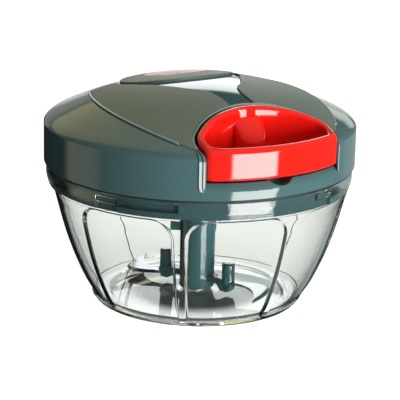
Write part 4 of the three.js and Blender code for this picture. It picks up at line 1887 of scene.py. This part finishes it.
@dataclass
class Handle:
    """The D-shaped pull handle: a tray with a thick rim and the boss of the cord's knot.

    Each of the boss's rings gives its half width, its half depth, its middle and its height.
    """

    bottom: float = 66.3
    wall: float = 3
    floor: float = 1.8
    crown_top: float = 92.3
    crown_drop: float = 14.13
    lid_radius: float = 64
    boss_rings: tuple[tuple[float, float, float, float], ...] = (
        (6.5, 6.5, -38.7, 67.2),
        (6.5, 6.5, -38.7, 75),
        (6.5, 6, -38.3, 77.5),
        (6.5, 4.9, -37.3, 80),
        (6.5, 3.2, -35.9, 82.3),
        (6.5, 1.9, -34.9, 84),
    )
    boss_drop: float = 0.35
    boss_shares: tuple[float, ...] = (0.97, 0.7, 0.35, 0.05)
    knot_y: float = -38.7
    rim_round: float = 1.45
    under_round: float = 1.4
    front_round: float = 3.2
    inner_round_share: float = 0.9
    floor_round: float = 2.6
    steps: int = 64
    knot_chamber: Point = (3.6, 76.2)
    cord_height: float = 72
    cord_hole: float = 1.3
    cord_hole_end: float = -30
    form: HandleForm = field(default_factory=HandleForm)

    def crown(self, x: float, y: float) -> float:
        """The height of the handle's rim at a place."""
        ball = (self.lid_radius**2 + self.crown_drop**2) / (2 * self.crown_drop)
        return self.crown_top - ball + math.sqrt(ball**2 - x * x - y * y)

    def ring(self, margin: float, height: float, from_crown: bool) -> list[Vector]:
        """One ring of the tray.

        Args:
            margin: How far it lies outside the handle's outline.
            height: Its height above the handle's bottom, or above its crowned rim.
            from_crown: Whether the height counts from the rim.

        Returns:
            Its points.
        """
        corner = self.front_round + min(-margin, self.wall) * self.inner_round_share
        corner -= max(-margin - self.wall, 0)
        outline = self.form.outline(margin, self.lid_radius + margin, corner, self.steps)
        return [
            Vector((x, y, height + (self.crown(x, y) if from_crown else self.bottom)))
            for x, y in outline
        ]

    def tray(self) -> Solid:
        """The tray without its boss: rings up its outside, over its rim and down to its floor.

        Returns:
            The tray.
        """
        under, rim, inner = self.under_round, self.rim_round, self.floor_round
        quarter = [math.pi / 2 * step / 4 for step in range(5)]
        line = [(-under * (1 - math.sin(a)), under * (1 - math.cos(a)), False) for a in quarter]
        line += [(-rim * (1 - math.cos(a)), -rim * (1 - math.sin(a)), True) for a in quarter]
        back = -self.wall
        line += [(back + rim * (1 - math.sin(a)), -rim * (1 - math.cos(a)), True) for a in quarter]
        line += [
            (back - inner * (1 - math.cos(a)), self.floor + inner * (1 - math.sin(a)), False)
            for a in quarter
        ]
        return Solid.stacked([self.ring(*place) for place in line])

    def boss(self) -> Solid:
        """The boss of the cord's knot, which leans back into the wall under the crowned rim.

        Returns:
            The boss.
        """
        around = circle(1, self.steps)
        rings = []
        for wide, deep, y, height in self.boss_rings:
            rings.append([Vector((a * wide, b * deep + y, height)) for a, b in around])
        wide, deep, y, _ = self.boss_rings[-1]
        for share in self.boss_shares:
            flat = [(a * wide * share, b * deep * share + y) for a, b in around]
            rings.append([Vector((a, b, self.crown(a, b) - self.boss_drop)) for a, b in flat])
        return Solid.stacked(rings)

    def solid(self) -> Solid:
        """The whole handle.

        Returns:
            The handle, bored for its cord.
        """
        made = self.tray()
        made.joined(self.boss())
        radius, top = self.knot_chamber
        made.cut(Solid.prism(circle(radius, 48, (0, self.knot_y)), self.bottom - OVERRUN, top))
        tube = Solid.prism(circle(self.cord_hole, 24), self.knot_y, self.cord_hole_end)
        return made.cut(tube.turned(-90, "X").moved(0, 0, self.cord_height))

    def build(self, shop: Workshop) -> None:
        """Fits the handle."""
        shop.fit(self.solid(), "pull_handle_tray", Slot.GLOSS_RED, Body.HANDLE, ["pull_handle"])


@dataclass
class LidBase:
    """The plate under the dome with its skirt, bayonet grooves and collar, and the seal."""

    plate: Point = (59.4, 61.6)
    plate_radius: float = 61.5
    skirt: Point = (57.4, 59.8)
    skirt_bottom: float = 50.3
    collar_bottom: float = 55
    collar_radius: float = 12.6
    collar_round: float = 0.5
    hole: float = 9.9
    plate_round: float = 0.4
    inside_round: float = 0.8
    skirt_rounds: Point = (0.4, 0.6)
    groove_depth: float = 1.5
    groove_reach: float = 4
    groove_round: float = 0.4
    clearance: float = 0.5
    lock_angle: float = 24
    screws: int = 4
    first_screw: float = 45
    screw_place: float = 50
    screw_hole: float = 1.8
    seal: Point = (60.2, 61.4)
    seal_height: Point = (57.75, 59.1)
    seal_flange: Point = (63.3, 58.5)
    seal_rounds: tuple[float, float, float] = (0.1, 0.2, 0.3)
    bowl: Bowl = field(default_factory=Bowl)

    def solid(self) -> Solid:
        """Builds the plate, skirt and collar with the grooves that the bowl's lugs run in.

        Returns:
            The base.
        """
        bottom, top = self.plate
        inner, outer = self.skirt
        inner_round, outer_round = self.skirt_rounds
        profile = [
            (self.hole, self.collar_bottom, 0),
            (self.collar_radius, self.collar_bottom, self.collar_round),
            (self.collar_radius, bottom, self.inside_round),
            (inner, bottom, self.inside_round),
            (inner, self.skirt_bottom, inner_round),
            (outer, self.skirt_bottom, outer_round),
            (outer, bottom, 0),
            (self.plate_radius, bottom, 0),
            (self.plate_radius, top, self.plate_round),
            (self.hole, top, 0),
        ]
        made = Solid.lathe(filleted(profile, 4), 256)
        made.cut(self.grooves())
        for index in range(self.screws):
            place = towards(self.first_screw + index * 360 / self.screws, self.screw_place)
            hole = Solid.rod(self.screw_hole, bottom - OVERRUN, top + OVERRUN)
            made.cut(hole.moved(place.x, place.y))
        return made

    def grooves(self) -> Solid:
        """The L-shaped grooves, open at the skirt's lower edge, as one tool.

        Returns:
            The solid to cut with.
        """
        top = self.bowl.lug_top + self.clearance
        low = self.bowl.lug_top - self.bowl.lug_height - self.clearance
        radii = (self.skirt[1] - self.groove_depth, self.skirt[1] + self.groove_reach)
        half = self.bowl.lug_angle / 2 + math.degrees(self.clearance / self.skirt[1])
        made = Solid(bmesh.new())
        for index in range(self.bowl.lugs):
            middle = self.bowl.first_lug + index * 360 / self.bowl.lugs
            heights = (self.skirt_bottom - OVERRUN, top)
            entry = Solid.sector(radii, (middle - half, middle + half), heights)
            run = Solid.sector(radii, (middle, middle + half + self.lock_angle), (low, top), 20)
            made.added(entry.joined(run).rounded(self.groove_round, 2))
        return made

    def seal_ring(self) -> Solid:
        """The ring seal with its flange over the bowl's rim.

        Returns:
            The seal.
        """
        (inner, outer), (bottom, top) = self.seal, self.seal_height
        flange, flange_top = self.seal_flange
        fine, medium, large = self.seal_rounds
        start = (inner, (bottom + top) / 2, 0)
        line = [
            start,
            (inner, bottom, fine),
            (flange, bottom, medium),
            (flange, flange_top, medium),
            (outer, flange_top, fine),
            (outer, top, large),
            (inner, top, large),
            start,
        ]
        return Solid.lathe(filleted(line)[:-1])

    def build(self, shop: Workshop) -> None:
        """Fits the base and the seal.

        Args:
            shop: The workshop that fits pieces to the frame.
        """
        made = self.solid()
        # The skirt takes the darker teal that paints its shade.
        shop.fit(made, "lid_skirt", Slot.GLOSS_TEAL, Body.LID, ["lid_base"], trim=Trim.SHADED_SKIRT)
        shop.fit(self.seal_ring(), "seal_ring", Slot.RUBBER, Body.SEAL, ["lid_seal"])


@dataclass
class Blade:
    """One sickle blade beyond its post, with a ground cutting edge.

    The outline's points are shares of the blade's free length, along it and sideways.
    """

    root_start: float = 12.2
    root_end: float = 18.7
    root_half: float = 1.4
    reach: float = 38.1
    thickness: float = 1
    ground: float = 1.5
    ground_middle: Point = (0.55, -0.12)
    edge_thickness: float = 0.2
    edge_bend: Point = (0.42, 0.42)
    notch: Point = (0.7, 0.24)
    notch_size: float = 1.4
    shoulder: Point = (0.97, 0.02)
    tip: Point = (1, -0.79)
    back_bend: Point = (0.62, 0.08)

    def place(self, share: Point) -> Point:
        """The place of an outline share."""
        free = self.reach - self.root_end
        return (self.root_end + free * share[0], free * share[1])

    def solid(self) -> Solid:
        """Builds the blade along +X, its underside at the height 0.

        Returns:
            The blade.
        """
        notch_x, notch_y = self.place(self.notch)
        root = (self.root_end, self.root_half)
        tip = self.place(self.tip)
        heel = (notch_x + self.notch_size, notch_y)
        dent = (notch_x, notch_y - self.notch_size)
        lead = (notch_x, notch_y + self.notch_size / 2)
        back_root = (self.root_end, -self.root_half)
        outer = bend(tip, self.place(self.shoulder), heel, 16)
        inner = bend(lead, self.place(self.edge_bend), root, 16)
        back = bend(back_root, self.place(self.back_bend), tip, 24)
        stem = [(self.root_start, self.root_half), (self.root_start, -self.root_half), back_root]
        outline = [*back, *outer, dent, lead, *inner, *stem]
        sharp = [*outer, *inner[:-1]]
        middle = self.place(self.ground_middle)
        ground = [
            tuple(
                a + (b - a) * self.ground / math.dist(point, middle) if point in sharp else a
                for a, b in zip(point, middle)
            )
            for point in outline
        ]
        return Solid.stacked(
            [
                [(x, y, 0) for x, y in outline],
                [(x, y, self.edge_thickness) for x, y in outline],
                [(x, y, self.thickness) for x, y in ground],
            ]
        )


@dataclass
class BladeSet:
    """The turning column with its two arms, their posts and fins, the side tab and the blades."""

    radius: float = 7.3
    bottom: float = 4.4
    top: float = 50.8
    end_round: float = 0.5
    hexagon: float = 8.8
    hexagon_top: float = 56
    hexagon_round: float = 0.25
    bore: Point = (2.3, 26)
    rings: int = 16
    ring_depth: float = 0.05
    ring_half: float = 0.35
    arm_azimuth: float = 24
    arm_reach: float = 16
    arm_width: float = 5
    arm: Point = (7.6, 10.2)
    arm_round: float = 0.4
    post_radius: float = 2.7
    post_top: float = 16.8
    post_round: float = 0.7
    fin_bottom: float = 4.9
    fin_width: float = 4.8
    fin_tip_share: float = 0.45
    fin_round: float = 0.3
    tab_height: float = 30.3
    tab_size: float = 3.4
    tab_reach: float = 11.4
    tab_azimuth: float = -121
    lower_blade: float = 5.7
    upper_blade: float = 8.4
    blade: Blade = field(default_factory=Blade)
    sharp: float = 12

    def column(self) -> Solid:
        """The column, faintly ringed where the mould's sleeves met.

        Returns:
            The column with its hexagon head.
        """
        spacing = (self.top - self.bottom) / (self.rings + 1)
        heights = [self.bottom + spacing * index for index in range(1, self.rings + 1)]
        dents = ((0, -self.ring_half), (self.ring_depth, 0), (0, self.ring_half))
        profile = [
            (0, self.bottom, 0),
            (self.radius, self.bottom, self.end_round),
            *((self.radius - depth, height + up, 0) for height in heights for depth, up in dents),
            (self.radius, self.top, self.end_round),
            (0, self.top, 0),
        ]
        made = Solid.lathe(filleted(profile, 4), 96)
        flats = circle(self.hexagon / 2 / math.cos(math.pi / 6), 6)
        head = Solid.prism(flats, self.top - OVERRUN, self.hexagon_top)
        return made.joined(head.rounded(self.hexagon_round, 2))

    def carrier(self) -> Solid:
        """An arm along +X with its upright post and the fin under it.

        Returns:
            The arm.
        """
        low, high = self.arm
        half = self.arm_width / 2
        reach, size = self.arm_reach, self.post_radius
        made = Solid.block((0, -half, low), (reach, half, high)).rounded(self.arm_round, 2)
        post = Solid.rod(size, low, self.post_top, self.post_round)
        made.joined(post.moved(reach))
        outline = [
            (reach - 2 * size, low + OVERRUN),
            (reach - 2 * size * self.fin_tip_share, self.fin_bottom),
            (reach + size * self.fin_tip_share, self.fin_bottom),
            (reach + size, low + OVERRUN),
        ]
        fin = Solid.prism(outline, -self.fin_width / 2, self.fin_width / 2)
        return made.joined(fin.turned(90, "X").rounded(self.fin_round, 2))

    def solid(self) -> Solid:
        """Builds the column with its arms, tab and bore.

        Returns:
            The whole carrier.
        """
        made = self.column()
        for azimuth in (self.arm_azimuth, self.arm_azimuth + 180):
            made.joined(self.carrier().turned(azimuth - 90))
        half, middle = self.tab_size / 2, self.tab_height
        tab = Solid.block((0, -half, middle - half), (self.tab_reach, half, middle + half))
        made.joined(tab.rounded(self.arm_round, 2).turned(self.tab_azimuth - 90))
        radius, top = self.bore
        return made.cut(Solid.rod(radius, self.bottom - OVERRUN, top, 0))

    def build(self, shop: Workshop) -> None:
        """Fits the column and its blades.

        Args:
            shop: The workshop that fits pieces to the frame.
        """
        shop.fit(self.solid(), "blade_carrier", Slot.INNER_TEAL, Body.BLADES, ["blade_column"])
        for name, azimuth, height in (
            ("upper_blade", self.arm_azimuth, self.upper_blade),
            ("lower_blade", self.arm_azimuth + 180, self.lower_blade),
        ):
            blade = self.blade.solid().moved(z=height).turned(azimuth - 90)
            shop.fit(blade, f"ground_{name}", Slot.STEEL, Body.BLADES, [name], self.sharp)


@dataclass
class Cord:
    """The pull cord from the winding through the guide to the knot in the handle's boss."""

    radius: float = 0.95
    height: float = 72
    points: tuple[Point, ...] = (
        (-17.1, -22.1),
        (-4.3, -26.3),
        (0, -28.3),
        (0, -32.3),
        (0, -35.4),
    )
    stretch: Point = (-31.5, -35.2)

    def run(self) -> Solid:
        """The cord, a tube along its points.

        Returns:
            The cord.
        """
        line = [Vector((x, y, self.height)) for x, y in curve_through(self.points, 12)]
        return Solid.bead(line, circle(self.radius, 16), [Vector((0, 0, 1))] * len(line))

    def build(self, shop: Workshop) -> None:
        """Fits the cord.

        Args:
            shop: The workshop that fits pieces to the frame.
        """
        made = self.run().piece("drawn_cord", shop.finishes[Slot.CORD])
        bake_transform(made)
        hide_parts("pull_cord")


@dataclass(frozen=True)
class Card:
    """A soft patch of the sky, its angles in degrees and its azimuth counted from the camera's."""

    azimuth: float
    elevation: float
    half_width: float
    half_height: float
    colour: Colour
    softness: float


@dataclass(frozen=True)
class Lamp:
    """A soft rectangular lamp: its place round the chopper, its size, power and distance."""

    name: str
    azimuth: float
    elevation: float
    size: Point
    power: float
    distance: float


@dataclass
class Studio:
    """The floor, the light and the camera of the photograph."""

    cards: tuple[Card, ...] = (
        Card(-144, -15, 32, 16, (0.01, 0.01, 0.01), 2),
        Card(-95, -15, 17, 14, (0.75, 0.7, 0.5), 7),
        Card(155, -15, 25, 14, (0.35, 0.4, 0.38), 6),
        Card(163, 9, 7, 5, (1.2, 1.35, 1.15), 2),
        Card(-152, 52, 22, 35, (0.8, 0.72, 0.38), 2),
        Card(-158, 6, 13, 9, (0.4, 0.42, 0.36), 3),
        Card(179, -3, 12, 7, (0.8, 0.8, 0.8), 2),
        Card(179, 38, 8, 12, (0.02, 0.03, 0.03), 1.5),
        Card(179, 15.5, 7.5, 10, (3.2, 3.3, 3.3), 1.5),
        Card(41, -14, 17, 24, (11.5, 11.2, 11), 1.5),
    )
    low: Colour = (0.08, 0.09, 0.09)
    level: Colour = (0.12, 0.14, 0.14)
    high: Colour = (0.3, 0.32, 0.3)
    floor_size: float = 6
    floor_tones: Point = (0.9, 0.93)
    floor_cloud: float = 400
    floor_roughness: float = 0.8
    floor_specular: float = 0.1
    floor_glow: float = 0.62
    floor_glow_through: float = 0.5
    # The painted shadow on the floor under the bowl: where it fades out, and its colour.
    floor_shade: Point = (22, 34)
    floor_shadow: Colour = (0.1, 0.1, 0.095)

    lamps: tuple[Lamp, ...] = (
        Lamp("top_softbox", 0, 72, (2250, 2250), 23.5, 3000),
        Lamp("front_softbox", 34, 9, (600, 600), 7.5, 1200),
    )
    lamp_aim: float = 60

    azimuth: float = -30.7
    elevation: float = 14.88
    roll: float = 1.26
    distance: float = 768
    seam: float = 58.3
    pixels: float = 400
    focal_pixels: float = 1860
    seam_pixel: Point = (199.3, 159.4)
    sensor: float = 36
    clip: Point = (0.05, 50)

    def camera(self) -> None:
        """Makes the photograph's camera."""
        back = towards(self.azimuth, math.cos(math.radians(self.elevation)))
        back.z = math.sin(math.radians(self.elevation))
        forward = -back
        level = forward.cross(Vector((0, 0, 1))).normalized()
        up = level.cross(forward)
        roll = math.radians(self.roll)
        right = level * math.cos(roll) + up * math.sin(roll)
        up = right.cross(forward)
        across = self.seam_pixel[0] - self.pixels / 2
        above = self.pixels / 2 - self.seam_pixel[1]
        aim = (forward * self.focal_pixels - right * across - up * above).normalized()
        right = (right - aim * right.dot(aim)).normalized()
        up = right.cross(aim)
        data = bpy.data.cameras.new("photo_camera")
        data.sensor_width = self.sensor
        data.lens = self.sensor * self.focal_pixels / self.pixels
        data.clip_start, data.clip_end = self.clip
        made = bpy.data.objects.new("photo_camera", data)
        bpy.context.scene.collection.objects.link(made)
        turn = Matrix((right, up, -aim)).transposed()
        place = (Vector((0, 0, self.seam)) + back * self.distance) * METRES_PER_MM
        made.matrix_world = Matrix.Translation(place) @ turn.to_4x4()
        bpy.context.scene.camera = made

    def floor(self) -> None:
        """Makes the pale floor, which mirrors don't show."""
        mesh = bmesh.new()
        bmesh.ops.create_grid(mesh, x_segments=1, y_segments=1, size=self.floor_size)
        data = bpy.data.meshes.new("floor")
        mesh.to_mesh(data)
        mesh.free()
        data.materials.append(self.floor_paint())
        made = bpy.data.objects.new("floor", data)
        bpy.context.scene.collection.objects.link(made)
        made.visible_glossy = False
        made.visible_diffuse = False
        made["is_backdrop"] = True

    def floor_paint(self) -> bpy.types.Material:
        """The floor's material, which glows, with a painted shadow, dark and unlit, where the bowl's
        middle shows it.

        Returns:
            The material.
        """
        paint = bpy.data.materials.new("floor_paint")
        graph = Graph(paint)
        dark, light = (rgba(WHITE, tone) for tone in self.floor_tones)
        colour = graph.blend(graph.noise(self.floor_cloud, 2), dark, light)
        tones = (
            (colour, self.floor_glow),
            (colour, self.floor_glow_through),
            # Painted shadow: a dark tone that takes no glow.
            (rgba(self.floor_shadow), 0),
        )
        glowing, lit, shaded = (
            graph.principled(
                {
                    "Base Color": tone,
                    "Roughness": self.floor_roughness,
                    "Specular IOR Level": self.floor_specular,
                    "Emission Color": rgba(WHITE),
                    "Emission Strength": glow,
                }
            )
            for tone, glow in tones
        )
        place = graph.place()
        away = graph.node("ShaderNodeVectorMath", {"operation": "LENGTH"}, {0: place}, "Value")
        near, far = (distance * METRES_PER_MM for distance in self.floor_shade)
        # Seen through the bowl, the floor near the middle turns to the painted shadow.
        behind = graph.mixed(graph.step(away, near, far), shaded, lit)
        seen = graph.mixed(graph.ray("Is Camera Ray"), behind, glowing)
        gone = graph.node("ShaderNodeBsdfTransparent")
        graph.surface(graph.mixed(graph.clear_view(), gone, seen))
        return paint

    def hang(self, lamp: Lamp) -> None:
        """Hangs a lamp that faces the chopper.

        Args:
            lamp: The lamp.
        """
        data = bpy.data.lights.new(lamp.name, "AREA")
        data.shape = "RECTANGLE"
        data.size, data.size_y = (side * METRES_PER_MM for side in lamp.size)
        data.energy = lamp.power
        made = bpy.data.objects.new(lamp.name, data)
        bpy.context.scene.collection.objects.link(made)
        away = towards(lamp.azimuth, math.cos(math.radians(lamp.elevation)))
        away.z = math.sin(math.radians(lamp.elevation))
        aim = Vector((0, 0, self.lamp_aim))
        made.location = (aim + away * lamp.distance) * METRES_PER_MM
        made.rotation_mode = "QUATERNION"
        made.rotation_quaternion = away.to_track_quat("Z", "Y")
        made.visible_glossy = False
        made.visible_transmission = False

    def world(self) -> None:
        """Makes the sky round the chopper: a soft ramp with cards in it, and white to look at."""
        world = bpy.data.worlds.new("studio")
        bpy.context.scene.world = world
        graph = Graph(world)
        direction = graph.node("ShaderNodeTexCoord", output="Generated")
        height = graph.dot(direction, (0, 0, 1))
        stops = [(0.0, rgba(self.low)), (0.5, rgba(self.level)), (1.0, rgba(self.high))]
        colour = graph.node("ShaderNodeValToRGB", {"stops": stops}, {0: height * 0.5 + 0.5})
        elevation = graph.node("ShaderNodeMath", {"operation": "ARCSINE"}, {0: height})
        for card in self.cards:
            share = self.mask(graph, direction, elevation, card)
            colour = graph.blend(share, colour, rgba(card.colour))
        shown = graph.blend(graph.clear_view(), colour, rgba(WHITE))
        sky = graph.node("ShaderNodeBackground", None, {"Color": shown})
        graph.node("ShaderNodeOutputWorld", None, {"Surface": sky})

    def mask(self, graph: Graph, direction: Signal, elevation: Signal, card: Card) -> Signal:
        """Where in the sky a card is.

        Args:
            graph: The world's graph.
            direction: The direction looked in.
            elevation: Its elevation in radians.
            card: The card.

        Returns:
            From 0 outside the card to 1 in it.
        """
        azimuth = self.azimuth + card.azimuth
        ahead = graph.dot(direction, towards(azimuth, 1))
        aside = graph.dot(direction, towards(azimuth + 90, 1))
        turn = graph.node("ShaderNodeMath", {"operation": "ARCTAN2"}, {0: aside, 1: ahead})
        rise = elevation - math.radians(card.elevation)
        share = None
        for angle, half in ((turn, card.half_width), (rise, card.half_height)):
            size = graph.node("ShaderNodeMath", {"operation": "ABSOLUTE"}, {0: angle})
            outside, inside = (math.radians(half + card.softness), math.radians(half - card.softness))
            edge = graph.step(size, outside, inside)
            share = edge if share is None else share * edge
        return share

    def build(self) -> None:
        """Sets the stage."""
        self.camera()
        self.floor()
        self.world()
        for lamp in self.lamps:
            self.hang(lamp)
        bpy.context.scene.view_settings.view_transform = "Standard"


def corners() -> list[list[float]]:
    """The shown object's lowest and highest corner."""
    return [list(corner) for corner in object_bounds()]


def main() -> None:
    """Builds the chopper's look and reports each piece."""
    logging.basicConfig(level=logging.INFO, format="%(name)s: %(message)s")
    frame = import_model()
    Studio().build()
    shop = Workshop(frame, Finishes().materials())
    shop.dress()
    Bowl().build(shop)
    Lid().build(shop)
    Handle().build(shop)
    LidBase().build(shop)
    BladeSet().build(shop)
    Cord().build(shop)


if __name__ == "__main__":
    main()
